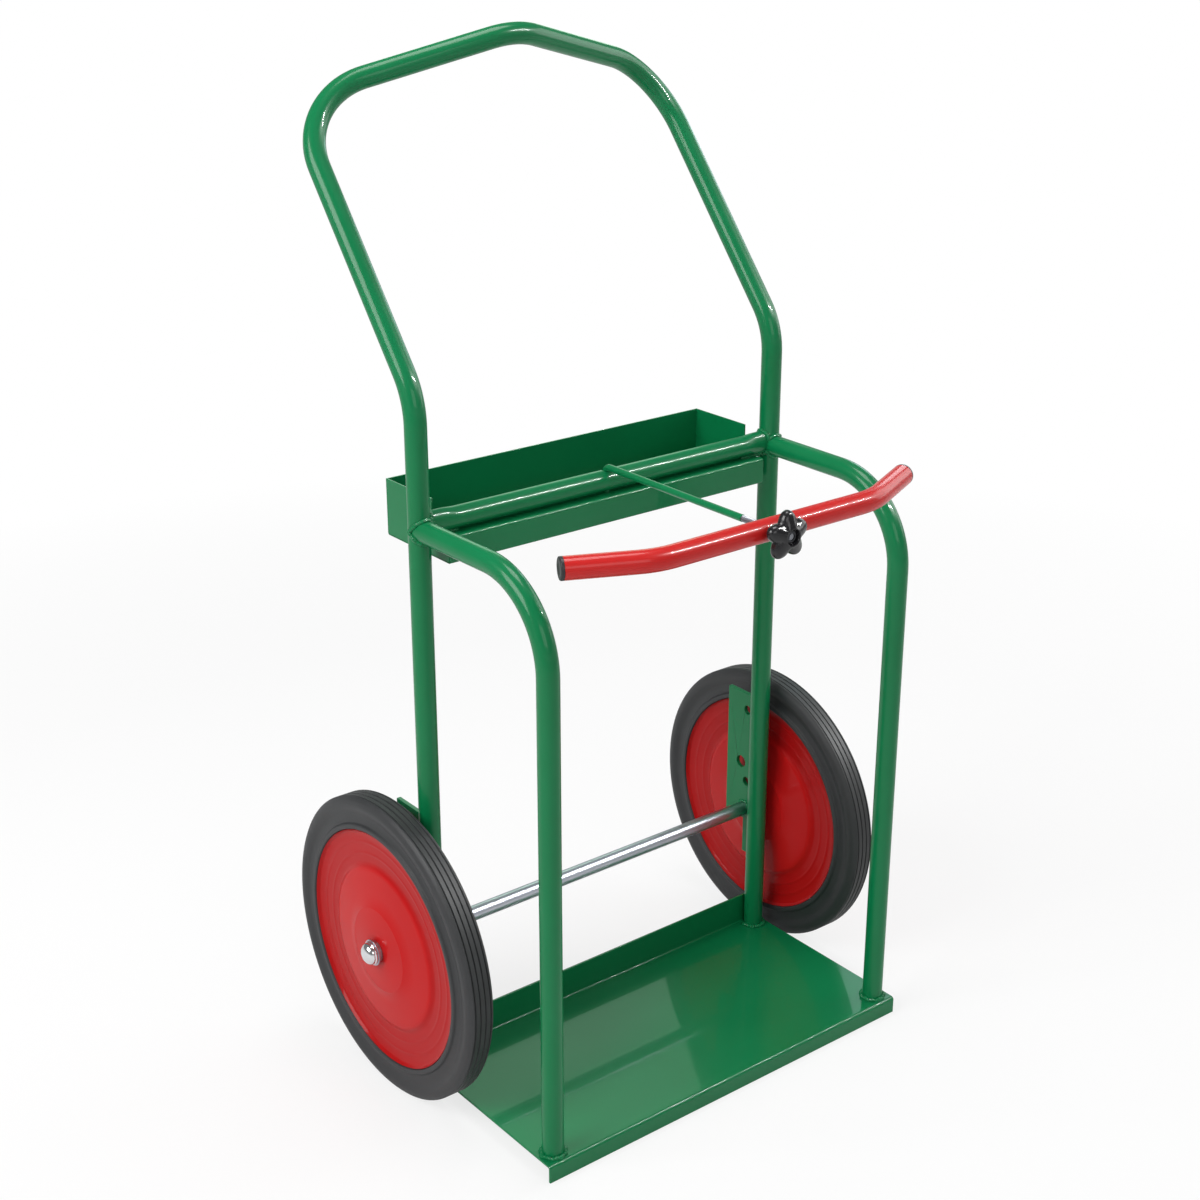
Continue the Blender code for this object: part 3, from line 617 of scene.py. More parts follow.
# %% [markdown]
# ## The axle brackets
# A 6 mm plate is welded behind each upright, wide above the axle and narrow below it. It is one flat
# outline with its drilled holes, filled and pushed out.

# %% Cut the brackets
BRACKET_TAB_WIDTH = 0.015
BRACKET_STEP_Z = AXLE_Z - 0.016
BRACKET_EDGE = 0.0006
AXLE_RADIUS = 0.010
BORE_RADIUS = AXLE_RADIUS + SEAT_GAP
# (behind the plate's front edge, above the axle, radius)
BRACKET_HOLES = ((0.0115, 0.156, 0.0065), (0.0225, 0.0715, 0.00875), (0.0105, 0.044, 0.0065))
for side in ("left", "right"):
    low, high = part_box(f"{side}_axle_bracket")
    outline = [
        (low.y, low.z),
        (low.y + BRACKET_TAB_WIDTH, low.z),
        (low.y + BRACKET_TAB_WIDTH, BRACKET_STEP_Z),
        (high.y, BRACKET_STEP_Z),
        (high.y, high.z),
        (low.y, high.z),
    ]
    holes = [(low.y + y, AXLE_Z + z, radius) for y, z, radius in BRACKET_HOLES]
    holes.append((AXLE_Y, AXLE_Z, BORE_RADIUS))
    bracket_mesh = plate(outline, low.x, high.x - low.x, holes)
    bracket = piece(f"{side}_bracket", bracket_mesh, GREEN, "chassis", "green_paint", f"{side}_axle_bracket")
    soften(bracket, BRACKET_EDGE)

# %% [markdown]
# ## Axle, washers and caps
# The axle is a plain bar. Its ends hide under push-on domed caps, whose rims flare a little where the
# tool pressed them home.

# %% Turn the axle and what holds the wheels on
ON_AXLE = (0, AXLE_Y, AXLE_Z)
AXLE_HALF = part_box("axle")[1].x
AXLE_CHAMFER = 0.001
AXLE_STEPS = 48
axle_line = [(-AXLE_HALF, 0), (-AXLE_HALF, AXLE_RADIUS), (AXLE_HALF, AXLE_RADIUS), (AXLE_HALF, 0)]
axle_mesh = turned(axle_line, [(1, AXLE_CHAMFER), (2, AXLE_CHAMFER)], AXLE_STEPS, False, ON_AXLE)
piece("axle_bar", axle_mesh, AXLE_STEEL, "chassis", "bare_steel", "axle")

COLLAR_EDGE = 0.0004
COLLAR_STEPS = 64


def collar(node, name, body="chassis"):
    """A washer, spacer or hub tube that stands for its plain solid."""
    low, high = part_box(node)
    outer = (high.z - low.z) / 2
    line = [(low.x, BORE_RADIUS), (high.x, BORE_RADIUS), (high.x, outer), (low.x, outer)]
    made = turned(line, [(number, COLLAR_EDGE) for number in range(4)], COLLAR_STEPS, True, ON_AXLE)
    piece(name, made, AXLE_STEEL, body, "bare_steel", node)


CAP_WALL = 0.0009
CAP_LIP = 0.0022
CAP_SHOULDER = 0.0032
CAP_DRAWN_IN = 0.0012
CAP_ROUND = 0.0005
DOME_STEPS = 12


def hub_cap(side, sign):
    """A domed cap with a rolled rim."""
    low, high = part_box(f"{side}_hub_cap")
    inner = min(abs(low.x), abs(high.x))
    height = high.x - low.x
    radius = (high.z - low.z) / 2
    shoulder = inner + CAP_SHOULDER
    neck = radius - CAP_DRAWN_IN
    line = [(inner, radius - CAP_WALL), (inner, radius), (inner + CAP_LIP, radius), (shoulder, neck)]
    for step in range(1, DOME_STEPS + 1):
        angle = math.pi / 2 * step / DOME_STEPS
        dome = max(neck * math.cos(angle), 0)
        line.append((shoulder + (height - CAP_SHOULDER) * math.sin(angle), dome))
    line += [(inner + height - CAP_WALL, 0), (shoulder, neck - CAP_WALL)]
    made = turned(line, [(1, CAP_ROUND), (2, CAP_ROUND)], COLLAR_STEPS, True, ON_AXLE, sign)
    piece(f"{side}_dome", made, CHROME, "chassis", "chrome", f"{side}_hub_cap")


for side, sign in SIDES:
    collar(f"{side}_axle_spacer", f"{side}_spacer")
    collar(f"{side}_inner_washer", f"{side}_washer_in")
    collar(f"{side}_outer_washer", f"{side}_washer_out")
    collar(f"{side}_hub_tube", f"{side}_hub", f"{side}_wheel")
    hub_cap(side, sign)

# %% [markdown]
# ## Tyres
# A solid tyre is a plain ring with a round bead where it grips the rim, a crease on its side, rounded
# shoulders and fine grooves round the tread. All of that is in the section, before the spin.

# %% Spin the tyres
TYRE_HALF = 0.0195
WHEEL_RADIUS = 0.2
RIM_RADIUS = 0.157
GROOVE_SPACING = 0.0074
GROOVE_DEPTH = 0.0019
GROOVE_HALF = 0.0011
# The corner radius at each point of the side, from the bead's inner edge to the shoulder
TYRE_ROUNDS = (0.001, 0.0018, 0.0012, 0.004, 0.003, 0.003, 0.0018, 0.001)


def tyre_line():
    """Half of the section from the bead to the tread's middle, then its mirror, as (x, radius)."""
    bead = RIM_RADIUS + SEAT_GAP
    side = [
        (TYRE_HALF - 0.0035, bead),
        (TYRE_HALF - 0.0004, bead + 0.0012),
        (TYRE_HALF - 0.0002, bead + 0.0068),
        (TYRE_HALF - 0.0036, bead + 0.0084),
        (TYRE_HALF - 0.0052, WHEEL_RADIUS - 0.0235),
        (TYRE_HALF - 0.0022, WHEEL_RADIUS - 0.0175),
        (TYRE_HALF, WHEEL_RADIUS - 0.0115),
        (TYRE_HALF - 0.0022, WHEEL_RADIUS - 0.0045),
        (TYRE_HALF - 0.0062, WHEEL_RADIUS),
    ]
    tread = []
    for place in (1.5, 0.5):
        middle_x = place * GROOVE_SPACING
        tread += [
            (middle_x + GROOVE_HALF, WHEEL_RADIUS),
            (middle_x, WHEEL_RADIUS - GROOVE_DEPTH),
            (middle_x - GROOVE_HALF, WHEEL_RADIUS),
        ]
    half = side + tread
    return half + [(-x, radius) for x, radius in reversed(half)]


for side in ("left", "right"):
    line = tyre_line()
    rounded = list(enumerate(TYRE_ROUNDS, 1))
    last = len(line) - 1
    rounded += [(last - number, size) for number, size in rounded]
    tyre_mesh = turned(line, rounded, WHEEL_STEPS, True, (middle(f"{side}_tyre").x, AXLE_Y, AXLE_Z))
    piece(f"{side}_tyre_ring", tyre_mesh, RUBBER, f"{side}_wheel", "tyre", f"{side}_tyre")

# %% [markdown]
# ## Pressed discs
# Each wheel is two pressed discs back to back. The press leaves a rolled edge at the rim, a sunken ring
# with faint ribs, a step up to a broad flat, and a raised boss at the hub.

# %% Spin the discs
DISC_SHEET = 0.0018
# (in from the rim, out from the edge)
DISC_LINE = (
    (0.0, 0.0),
    (0.003, -0.0038),
    (0.010, -0.0055),
    (0.0145, -0.00565),
    (0.017, -0.0053),
    (0.0195, -0.0058),
    (0.0295, -0.0061),
    (0.032, -0.0057),
    (0.0345, -0.0062),
    (0.046, -0.0065),
    (0.0515, -0.0025),
    (0.094, 0.0008),
    (0.101, 0.0038),
)
RIB_ROUND = 0.0011
# (point, corner radius) for the ribs, the step up, the flat and the boss
DISC_ROUNDS = [(number, RIB_ROUND) for number in (1, 3, 4, 5, 6, 7, 8)]
DISC_ROUNDS += [(9, 0.0034), (10, 0.0034), (11, 0.012), (12, 0.004), (13, 0.003)]
DISC_EDGE = TYRE_HALF - 0.002
HUB_RADIUS = 0.0138
HUB_END = 0.028 - 0.004
BOSS_LAND = 0.010


def disc(side, name, node, outward):
    """One pressed disc, whose face looks along outward times X."""
    face = [(DISC_EDGE + out, RIM_RADIUS - inward) for inward, out in DISC_LINE]
    face += [(HUB_END, HUB_RADIUS + BOSS_LAND), (HUB_END, HUB_RADIUS + SEAT_GAP)]
    back = [(x - DISC_SHEET, radius) for x, radius in reversed(face)]
    made = turned(face + back, DISC_ROUNDS, WHEEL_STEPS, True, middle(f"{side}_tyre"), outward)
    piece(name, made, WHEEL_RED, f"{side}_wheel", "red_paint", node)


for side, sign in SIDES:
    disc(side, f"{side}_disc_out", f"{side}_outer_disc", sign)
    disc(side, f"{side}_disc_in", f"{side}_inner_disc", -sign)

# %% [markdown]
# ## The clamp
# A rod hooks down through the cross tube and reaches forward. A red bar slides on it through a drilled
# hole, bent back at both ends round the cylinders, and a black hand knob on the rod's thread pulls the
# bar in. Two rings cut close to the hole keep the drill's long faces short, so the paint stays smooth.

# %% Bend the rod and the bar
ROD_RADIUS = 0.0044
ROD_Z = middle("knob_insert").z
ROD_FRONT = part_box("clamp_rod")[0].y
ROD_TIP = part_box("clamp_rod")[0].z
HOOK_BEND = 0.009
ROD_SIDES = 24
BAR_Y = -0.250027
THREAD_START = BAR_Y + 0.046
rod_corners = [(0, PLANE_Y, ROD_TIP), (0, PLANE_Y, ROD_Z), (0, THREAD_START, ROD_Z)]
rod_mesh, _ = tube(rod_corners, ROD_RADIUS, HOOK_BEND, ROD_SIDES)
piece("rod", rod_mesh, GREEN, "clamp_arm", "green_paint", "clamp_rod")

BAR_BEND = 0.105
BAR_STRAIGHT = 0.1659
BAR_LEG = 0.1045
BAR_TURN = math.radians(24.9)
BAR_COLLAR = 0.012
ROD_HOLE = 0.0049
BAR_END = (BAR_STRAIGHT + BAR_LEG * math.cos(BAR_TURN), BAR_Y + BAR_LEG * math.sin(BAR_TURN))
bar_half = [(-BAR_END[0], BAR_END[1], ROD_Z), (-BAR_STRAIGHT, BAR_Y, ROD_Z)]
bar_corners = bar_half + [(-x, y, z) for x, y, z in reversed(bar_half)]
bar_mesh, _ = tube(bar_corners, TUBE_RADIUS, BAR_BEND)
for x in (-BAR_COLLAR, BAR_COLLAR):
    everything = bar_mesh.verts[:] + bar_mesh.edges[:] + bar_mesh.faces[:]
    bmesh.ops.bisect_plane(bar_mesh, geom=everything, plane_co=(x, 0, 0), plane_no=(1, 0, 0), dist=1e-6)
red_bar = piece("bar", bar_mesh, BAR_RED, "clamp_crossbar", "red_paint", "clamp_bar")
THROUGH = 4 * TUBE_RADIUS
drilled(red_bar, (0, BAR_Y, ROD_Z), ROD_HOLE, THROUGH, Matrix.Rotation(math.pi / 2, 4, "X"))

# %% [markdown]
# ## The thread
# The front of the rod is left bare and carries an M8 thread, which shows behind the bar and, once the
# bar is wound in, in front of the knob too. One pitch of the thread's profile is spun and moved along
# at the same time, which is what a screw is. A plain core fills it and closes the rod's end.

# %% Cut the thread
THREAD_PITCH = 0.00125
THREAD_RADIUS = 0.004
THREAD_ROOT = THREAD_RADIUS - 0.613 * THREAD_PITCH
THREAD_SUNK = 0.002
THREAD_LEAD_IN = 0.0004
TURN_STEPS = 18
# (share of the pitch, radius) along one ridge and its groove
THREAD_PROFILE = (
    (0, THREAD_RADIUS),
    (0.12, THREAD_RADIUS),
    (0.5, THREAD_ROOT),
    (0.62, THREAD_ROOT),
    (1, THREAD_RADIUS),
)


def thread():
    """The core, sunk into the painted rod at the back, and the ridge wound round it."""
    bm = bmesh.new()
    core = ring(bm, (0, THREAD_START + THREAD_SUNK, ROD_Z), (0, -1, 0), THREAD_ROOT, TURN_STEPS)
    length = THREAD_START + THREAD_SUNK - ROD_FRONT
    tip = draw_out(bm, core, (0, -length, 0))
    close_ends(bm, core, tip)
    known = len(bm.verts)
    turns = math.floor((THREAD_START - ROD_FRONT) / THREAD_PITCH) - 1
    front = ROD_FRONT + THREAD_LEAD_IN
    line = [bm.verts.new((0, front + share * THREAD_PITCH, ROD_Z + out)) for share, out in THREAD_PROFILE]
    edges = [bm.edges.new(pair) for pair in zip(line, line[1:])]
    bmesh.ops.spin(
        bm,
        geom=line + edges,
        cent=(0, 0, ROD_Z),
        axis=(0, 1, 0),
        dvec=(0, THREAD_PITCH / TURN_STEPS, 0),
        angle=2 * math.pi * turns,
        steps=turns * TURN_STEPS,
    )
    bm.verts.ensure_lookup_table()
    bmesh.ops.remove_doubles(bm, verts=bm.verts[known:], dist=1e-5)
    bmesh.ops.holes_fill(bm, edges=[edge for edge in bm.edges if edge.is_boundary], sides=0)
    return bm


piece("rod_thread", thread(), DULL_STEEL, "clamp_arm", "bare_steel")

# %% [markdown]
# ## The bar's plugs
# A moulded plug closes each end of the bar. Only its head shows, a disc as wide as the tube with a
# rounded edge and a shallow dish, so it is turned about X and then swung to the bar's own direction.

# %% Push in the plugs
PLUG_HEAD = 0.0043
PLUG_DEPTH = 0.004
PLUG_NECK = 0.0105
PLUG_EDGE = 0.0015
PLUG_STEPS = 48
DISH_RADIUS = 0.007
DISH_SLOPE = 0.001
DISH_FLOOR = PLUG_HEAD - 0.0005
plug_line = [
    (-PLUG_DEPTH, 0),
    (-PLUG_DEPTH, PLUG_NECK),
    (SEAT_GAP, PLUG_NECK),
    (SEAT_GAP, TUBE_RADIUS),
    (PLUG_HEAD, TUBE_RADIUS),
    (PLUG_HEAD, DISH_RADIUS),
    (DISH_FLOOR, DISH_RADIUS - DISH_SLOPE),
    (DISH_FLOOR, 0),
]
for side, sign in SIDES:
    plug_mesh = turned(plug_line, [(4, PLUG_EDGE)], PLUG_STEPS, False)
    ahead = Vector((sign * (BAR_END[0] - BAR_STRAIGHT), BAR_END[1] - BAR_Y, 0)).normalized()
    turn = Vector((1, 0, 0)).rotation_difference(ahead).to_matrix()
    bmesh.ops.rotate(plug_mesh, cent=(0, 0, 0), matrix=turn, verts=plug_mesh.verts)
    bmesh.ops.translate(plug_mesh, verts=plug_mesh.verts, vec=(sign * BAR_END[0], BAR_END[1], ROD_Z))
    piece(f"{side}_plug", plug_mesh, PLUG_PLASTIC, "clamp_crossbar", "black_plastic", f"{side}_bar_plug")

# %% [markdown]
# ## The hand knob
# The knob is one moulding: a collar that bears on the washer, five fingers, and a round well in the
# face for the rod's end. It is drawn as one ring of edges carried from the collar to the well. At each
# station the ring is moved to its own shape, from round to fingered and back to round.

# %% Mould the knob
KNOB_LOBES = 5
LOBE_POINTS = 20
FINGER_TIP = 0.0295
FINGER_WAIST = 0.0202
FINGER_BREADTH = 0.7
KNOB_BACK, KNOB_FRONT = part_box("clamp_knob")[1].y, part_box("clamp_knob")[0].y
KNOB_STATIONS = (
    # (behind the face, radius where round, share of fingers, drawn in at the finger's edge)
    (0.0230, 0.0046, 0.0, 0.0),
    (0.0230, 0.0094, 0.0, 0.0),
    (0.0224, 0.0101, 0.0, 0.0),
    (0.0190, 0.0103, 0.0, 0.0),
    (0.0181, 0.0116, 0.5, 0.0055),
    (0.0179, 0.0, 1.0, 0.0044),
    (0.0171, 0.0, 1.0, 0.0019),
    (0.0154, 0.0, 1.0, 0.0004),
    (0.0130, 0.0, 1.0, 0.0),
    (0.0104, 0.0, 1.0, 0.0002),
    (0.0082, 0.0, 1.0, 0.0011),
    (0.0064, 0.0, 1.0, 0.0027),
    (0.0050, 0.0130, 0.9, 0.0045),
    (0.0038, 0.0125, 0.72, 0.0060),
    (0.0026, 0.0120, 0.5, 0.0060),
    (0.0014, 0.0116, 0.25, 0.0060),
    (0.0005, 0.0113, 0.0, 0.0),
    (0.0001, 0.0106, 0.0, 0.0),
    (0.0002, 0.0099, 0.0, 0.0),
    (0.0010, 0.0093, 0.0, 0.0),
    (0.0058, 0.0086, 0.0, 0.0),
    (0.0058, 0.0066, 0.0, 0.0),
    (0.0120, 0.0066, 0.0, 0.0),
)


def finger_radius(angle):
    """The fingered outline: broad round tips and tighter hollows between them."""
    wave = (1 + math.cos(KNOB_LOBES * angle)) / 2
    return FINGER_WAIST + (FINGER_TIP - FINGER_WAIST) * wave**FINGER_BREADTH


def shape_ring(section, station):
    """Moves a ring of edges to a station's place and shape."""
    behind, plain, fingers, drawn_in = station
    for vertex in {v: None for edge in section for v in edge.verts}:
        angle = math.atan2(vertex.co.x, vertex.co.z - ROD_Z)
        radius = plain * (1 - fingers) + (finger_radius(angle) - drawn_in) * fingers
        vertex.co = (radius * math.sin(angle), KNOB_FRONT + behind, ROD_Z + radius * math.cos(angle))


def knob():
    bm = bmesh.new()
    section = first = ring(bm, (0, KNOB_BACK, ROD_Z), (0, -1, 0), FINGER_WAIST, KNOB_LOBES * LOBE_POINTS)
    for number, station in enumerate(KNOB_STATIONS):
        if number:
            section = draw_out(bm, section, (0, 0, 0))
        shape_ring(section, station)
    close_ends(bm, first, section)
    return bm


piece("knob_grip", knob(), KNOB_PLASTIC, "knob", "black_plastic", "clamp_knob")

# The steel insert and the washer are plain enough to keep their solids, and only get a finish.
for node, look in (("knob_insert", OXIDE_STEEL), ("clamp_washer", DULL_STEEL)):
    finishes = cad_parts[node].data.materials
    finishes.clear()
    finishes.append(look)

# %% [markdown]
# ## Weld beads
# The trolley is held together by hand-run beads under the paint. A bead is a row of overlapping
# ripples that swells and thins as the welder moved, so it is a chain of small rings along the joint,
# each with its own size from a fixed sequence, joined by bridging. The sequence is a sum of sines, so
# the beads come out the same on every run. The last one is even, for it is no weld: it is the paint that
# closes the slit between the cross tube and the tray.

# %% Run the weld beads
BEAD_SIDES = 10
RIPPLE = 0.0034
BEAD_STEP = 0.0009
RIPPLE_SHARE = 0.36
SWELL_SHARE = 0.13
THINNING = 0.28
DRIFT_SHARE = 0.2
TAPER_START = 0.35
TAPER_STEPS = 3


def even_points(points, spacing):
    """Points at an even spacing along a finely drawn line."""
    line = [Vector(point) for point in points]
    made, left = [line[0]], spacing
    for before, after in zip(line, line[1:]):
        length = (after - before).length
        reached = left
        while reached <= length:
            made.append(before.lerp(after, reached / length))
            reached += spacing
        left = reached - length
    return made


def bead(name, points, radius, seed, closed=False, lumps=1.0):
    """A rippled bead along a line of points, tapered at its ends unless it closes on itself."""
    line = even_points(points, BEAD_STEP)
    if closed and (line[-1] - line[0]).length < BEAD_STEP:
        line.pop()
    bm = bmesh.new()
    rings = []
    for number, point in enumerate(line):
        along = number * BEAD_STEP
        ripple = abs(math.sin(math.pi * along / RIPPLE + seed))
        swell = math.sin(along * 310 + seed * 3) + math.sin(along * 730 + seed * 5)
        size = radius * (1 + lumps * (RIPPLE_SHARE * ripple + SWELL_SHARE * swell - THINNING))
        before, after = line[number - 1], line[(number + 1) % len(line)]
        if not closed:
            before, after = line[max(number - 1, 0)], line[min(number + 1, len(line) - 1)]
            from_end = min(number, len(line) - 1 - number) / TAPER_STEPS
            size *= min(1.0, TAPER_START + (1 - TAPER_START) * from_end)
        drift = Vector((math.sin(along * 520 + seed), math.sin(along * 610 + seed * 2), 0))
        rings.append(ring(bm, point + drift * radius * lumps * DRIFT_SHARE, after - before, size, BEAD_SIDES))
    for first, second in zip(rings, rings[1:] + rings[:1] if closed else rings[1:]):
        bmesh.ops.bridge_loops(bm, edges=first + second)
    if not closed:
        close_ends(bm, rings[0], rings[-1])
    piece(name, bm, GREEN, "chassis", "green_paint")


ARC_STEPS = 90
END_STEPS = 120


def arc(centre, radius, start, end):
    """Points on a level arc, with angles in degrees from +X towards +Y."""
    angles = [math.radians(start + (end - start) * step / ARC_STEPS) for step in range(ARC_STEPS + 1)]
    return [Vector(centre) + Vector((math.cos(a), math.sin(a), 0)) * radius for a in angles]


def round_the_end(sign, wide, tall, z, facing):
    """Points where a tube's end meets an upright, facing "front" for an arm and "side" for the cross tube."""
    points = []
    for step in range(END_STEPS + 1):
        angle = 2 * math.pi * step / END_STEPS
        across, up = wide * math.cos(angle), tall * math.sin(angle)
        depth = math.sqrt(max((TUBE_RADIUS + PROUD) ** 2 - across**2, 0))
        if facing == "front":
            points.append((sign * UPRIGHT_X + across, PLANE_Y - depth, z + up))
        else:
            points.append((sign * (UPRIGHT_X - depth), PLANE_Y + across, z + up))
    return points


PROUD = 0.0006
ARM_FOOT_BEAD = 0.0031
ARM_FOOT_OUT = 0.0012
HEEL_BEAD = 0.0033
HEEL_UP = 0.001
HEEL_OUT = 0.0013
HEEL_ARC = (158, 382)
END_BEAD = 0.0029
SADDLE_TALL = TUBE_RADIUS + 0.0008
OVAL_DEEP = 0.0113
OVAL_TALL = 0.0157
AXLE_BEAD = 0.0019
EYE_OUT = 0.0112
TRAY_BEAD = 0.0025
TRAY_BEAD_Z = 0.7452
TRAY_BEAD_START = 0.224
TRAY_BEADS_Y = (PLANE_Y - 0.003, PLANE_Y + 0.003)
BRACKET_BEAD = 0.0022
BRACKET_STITCHES = ((0.345, 0.372), (0.248, 0.276), (0.14, 0.168))
STITCH_X = UPRIGHT_X - 0.0004
STITCH_Y = PLANE_Y + TUBE_RADIUS + PROUD
SEAM_REACH = 0.228
SEAM_RADIUS = 0.0011

for side, sign in SIDES:
    foot = (sign * ARM_FOOT_X, ARM_FOOT_Y, DECK_TOP + ARM_FOOT_OUT)
    foot_ring = arc(foot, TUBE_RADIUS + ARM_FOOT_OUT, 0, 360)
    bead(f"{side}_arm_foot_weld", foot_ring, ARM_FOOT_BEAD, 1.0 + sign, True, 0.9)
    heel = (sign * UPRIGHT_X, PLANE_Y, DECK_TOP + HEEL_UP)
    bead(f"{side}_upright_foot_weld", arc(heel, TUBE_RADIUS + HEEL_OUT, *HEEL_ARC), HEEL_BEAD, 2.0 + sign)
    saddle = round_the_end(sign, TUBE_RADIUS + PROUD, SADDLE_TALL, ARM_Z, "front")
    bead(f"{side}_arm_weld", saddle, END_BEAD, 3.0 + sign, True, 0.5)
    oval = round_the_end(sign, OVAL_DEEP, OVAL_TALL, CROSS_TUBE_Z, "side")
    bead(f"{side}_cross_weld", oval, END_BEAD, 4.0 + sign, True, 0.6)
    inside = sign * (min(abs(corner.x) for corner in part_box(f"{side}_axle_bracket")) - SEAT_GAP)
    turns = [math.radians(4 * step) for step in range(91)]
    eye = [(inside, AXLE_Y + EYE_OUT * math.cos(turn), AXLE_Z + EYE_OUT * math.sin(turn)) for turn in turns]
    bead(f"{side}_axle_weld", eye, AXLE_BEAD, 7.0 + sign, True, 0.6)
    for number, y in enumerate(TRAY_BEADS_Y):
        run = [(sign * x, y, TRAY_BEAD_Z) for x in (TRAY_BEAD_START, UPRIGHT_X - TUBE_RADIUS)]
        bead(f"{side}_tray_weld_{number}", run, TRAY_BEAD, 6.0 + number)
    for number, heights in enumerate(BRACKET_STITCHES):
        stitch = [(sign * STITCH_X, STITCH_Y, z) for z in heights]
        bead(f"{side}_bracket_weld_{number}", stitch, BRACKET_BEAD, 5.0 + number)

seam_z = (FLANGE_TOP + CROSS_TUBE_Z - TUBE_RADIUS) / 2
seam = [(sign * SEAM_REACH, PLANE_Y, seam_z) for sign in (-1, 1)]
bead("tray_seam", seam, SEAM_RADIUS, 9.0, False, 0.2)

# %% [markdown]
# ## Floor and studio
# The photograph was taken on white. The floor and the world are plain white to the camera, and to rays
# that metal or gloss send to the horizon, while the light that they give stays low. So the background
# is white without washing out the paint, and the floor keeps a soft shadow under the trolley.

# %% Lay the floor and the world
FLOOR_HALF = 60.0
FLOOR_FADE = (0.4, 0.4, 0.4)
SHADOW_SHARE = 0.24
GLOSS_SHARE = 0.3
PAPER = (0.74, 0.74, 0.74)
PAPER_SEEN = (0.86, 0.86, 0.86)
WHITE = (1.0, 1.0, 1.0, 1.0)


def on_stage(name, bm, look):
    """A thing of the studio, which is no piece of the trolley."""
    made = placed(name, bm)
    made.data.materials.append(look)
    return made


def floor_finish():
    """White paper that fades from its own lit shade near the trolley to plain white further off."""
    made = Finish("floor", Roughness=0.9, Specular_IOR_Level=0.0)
    centred = made.node("ShaderNodeMapping", None, {"Vector": made.place, "Scale": FLOOR_FADE})
    near = made.node("ShaderNodeTexGradient", {"gradient_type": "SPHERICAL"}, {"Vector": centred})
    camera_ray = made.node("ShaderNodeLightPath", out="Is Camera Ray")
    gloss_ray = made.node("ShaderNodeLightPath", out="Is Glossy Ray")
    made.done(Base_Color=made.between(camera_ray, PAPER, PAPER_SEEN))
    glow = made.node("ShaderNodeEmission", None, {"Color": WHITE, "Strength": 1.0})
    far = 1.0 - made.ramp(near, (0.0, 0.0), (0.45, SHADOW_SHARE))
    share = (camera_ray + gloss_ray * GLOSS_SHARE) * far
    paper = Wire(made, made.surface.outputs[0])
    mix = made.node("ShaderNodeMixShader", None, {0: share, 1: paper, 2: glow})
    made.put(made.tree.nodes["Material Output"], {"Surface": mix})
    return made.material


floor_mesh = bmesh.new()
bmesh.ops.create_grid(floor_mesh, x_segments=1, y_segments=1, size=FLOOR_HALF)
on_stage("floor", floor_mesh, floor_finish())

# The world's strength is AMBIENT to plain light, a bright band at the horizon to gloss, and 1 to the camera.
AMBIENT = 0.33
GLOSS_BAND = {"From Min": 0.02, "From Max": 0.14, "To Min": 0.9, "To Max": 0.2}
world = bpy.data.worlds.new("studio")
bpy.context.scene.world = world
world.use_nodes = True
studio = world.node_tree
background = studio.nodes["Background"]
background.inputs["Color"].default_value = WHITE
kinds = ("LightPath", "TexCoord", "SeparateXYZ", "MapRange", "Mix", "Mix")
rays, way, split, band, gloss, seen = [studio.nodes.new(f"ShaderNode{kind}") for kind in kinds]
for key, value in GLOSS_BAND.items():
    band.inputs[key].default_value = value
gloss.inputs[2].default_value = AMBIENT
seen.inputs[3].default_value = 1.0
for source, output, target, entry in (
    (way, "Generated", split, 0),
    (split, "Z", band, "Value"),
    (rays, "Is Glossy Ray", gloss, 0),
    (band, 0, gloss, 3),
    (rays, "Is Camera Ray", seen, 0),
    (gloss, 0, seen, 2),
    (seen, 0, background, "Strength"),
):
    studio.links.new(source.outputs[output], target.inputs[entry])

# %% [markdown]
# ## Lamps and cards
# The shading in the photograph tells where its lamps stood: faces towards the left are full green and
# faces towards the front are dull, so one big soft lamp stands at the left, with weaker fills in front,
# at the right and above. A narrow strip, high at the right front, is seen only by gloss and draws the
# thin white line along the cross tube and the bar. The pale panes on the deck are mirrored white boards
# behind the trolley, so two boards stand there, which only gloss can see.

# %% Hang the lamps and the boards
def lamp(name, place, aim, size, power):
    """A soft oblong lamp, in watts, turned to look at a point."""
    data = bpy.data.lights.new(name, "AREA")
    data.shape = "RECTANGLE"
    data.size, data.size_y = size
    data.energy = power
    made = bpy.data.objects.new(name, data)
    made.location = place
    made.rotation_euler = (Vector(aim) - Vector(place)).to_track_quat("-Z", "Y").to_euler()
    bpy.context.scene.collection.objects.link(made)
    return made


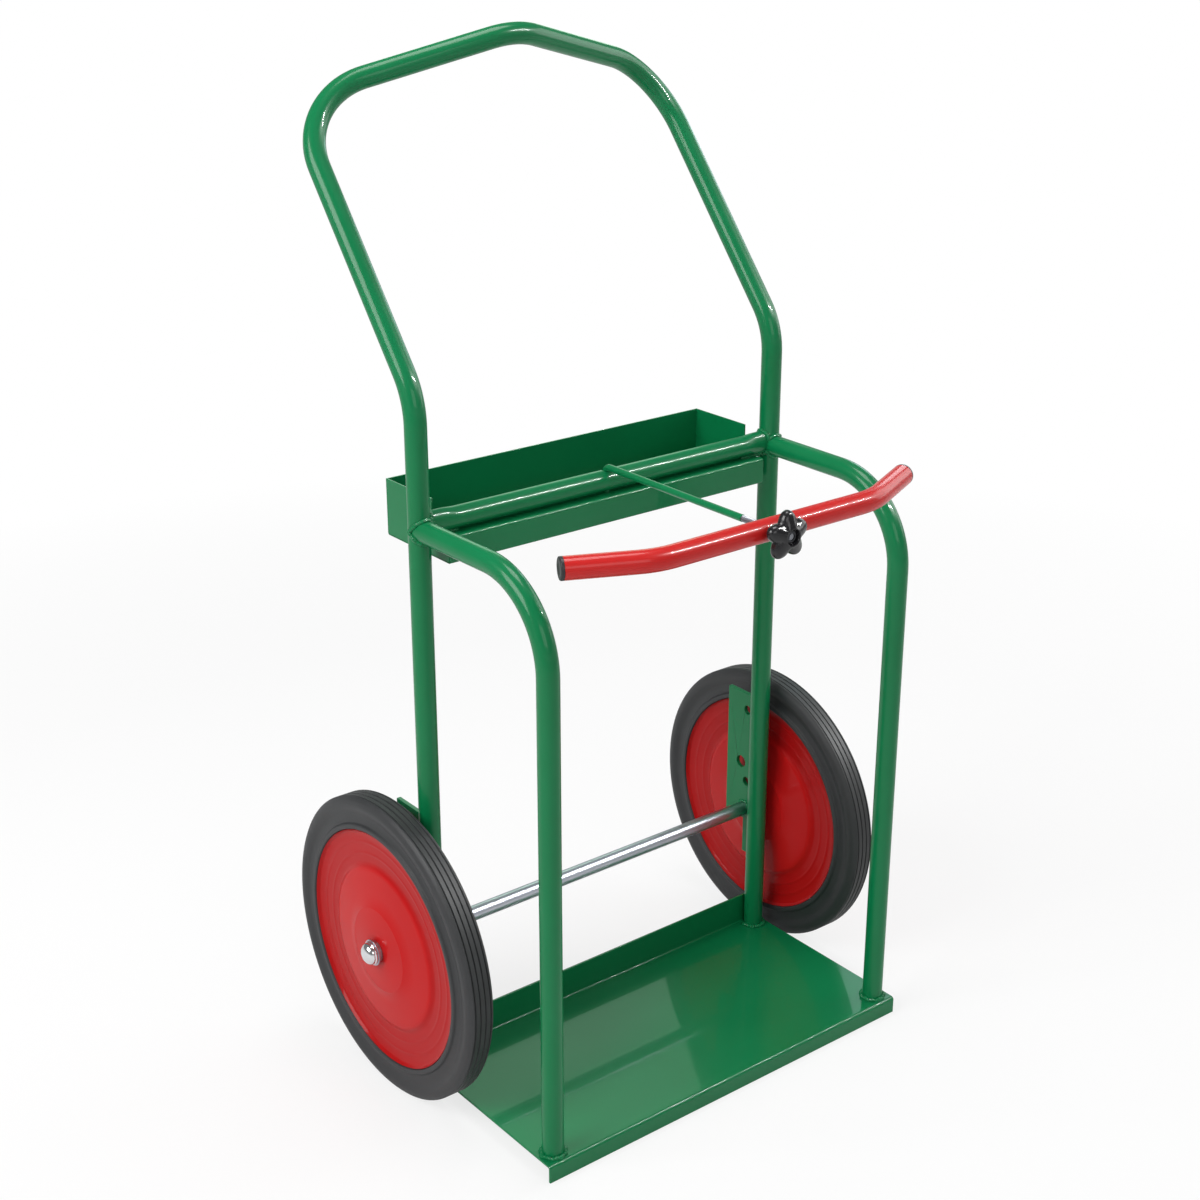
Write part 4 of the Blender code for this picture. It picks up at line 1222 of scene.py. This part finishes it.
AIM = (0, 0, 0.6)
lamp("key", (-3.1, 0.3, 2.7), AIM, (2.2, 1.8), 98)
lamp("front fill", (-1.0, -3.4, 2.2), AIM, (2.0, 1.4), 19)
lamp("right fill", (3.2, -0.6, 1.9), AIM, (2.4, 2.0), 40)
strip = lamp("strip", (1.68, -1.45, 2.5), (1.68, 0, 0.77), (1.7, 0.07), 110)
strip.visible_diffuse = False
lamp("top", (0.2, 0.2, 3.4), AIM, (1.2, 1.2), 34)


EYE = (-1.42396, -1.740837, 1.50037)
MIRRORED_EYE = Vector((EYE[0], EYE[1], 2 * DECK_TOP - EYE[2]))
BOARD_FAR = 5.0


def board(name, corners, tint, glow):
    """A glowing card seen only by gloss. Its corners are the (heading, elevation) at which the camera
    would see it in the deck, headings counted from +Y towards +X."""
    look = Finish(name, Base_Color=(0, 0, 0, 1), Emission_Color=tint, Emission_Strength=glow)
    bm = bmesh.new()
    for heading, elevation in corners:
        turn, rise = math.radians(heading), math.radians(elevation)
        way = Vector((math.sin(turn) * math.cos(rise), math.cos(turn) * math.cos(rise), math.sin(rise)))
        bm.verts.new(MIRRORED_EYE + way * BOARD_FAR)
    bmesh.ops.contextual_create(bm, geom=bm.verts[:])
    made = on_stage(name, bm, look.material)
    made.visible_camera = False
    made.visible_diffuse = False
    made.visible_shadow = False


board("left_board", ((30.0, 32.2), (40.5, 32.2), (43.6, 38.8), (30.0, 38.8)), (0.74, 1.0, 0.8, 1), 2.5)
board("right_board", ((46.6, 31.8), (56.0, 31.8), (56.0, 38.0), (49.5, 38.0)), (0.76, 0.96, 1.0, 1), 4.2)

# %% [markdown]
# ## Camera
# The camera's place, turn and lens were fitted to the trolley's edges in the photograph, together with
# the trolley's own sizes. It stands 1.5 m up at the trolley's left front and looks down.

# %% Aim the camera
LENS = 57.81
SENSOR = 36.0
CAMERA_TILT = math.radians(68.49)
CAMERA_TURN = math.radians(-38.34)
camera_data = bpy.data.cameras.new("camera")
camera_data.lens = LENS
camera_data.sensor_width = SENSOR
camera = bpy.data.objects.new("camera", camera_data)
camera.location = EYE
camera.rotation_euler = (CAMERA_TILT, 0, CAMERA_TURN)
bpy.context.scene.collection.objects.link(camera)
bpy.context.scene.camera = camera
bpy.context.scene.view_settings.view_transform = "Standard"
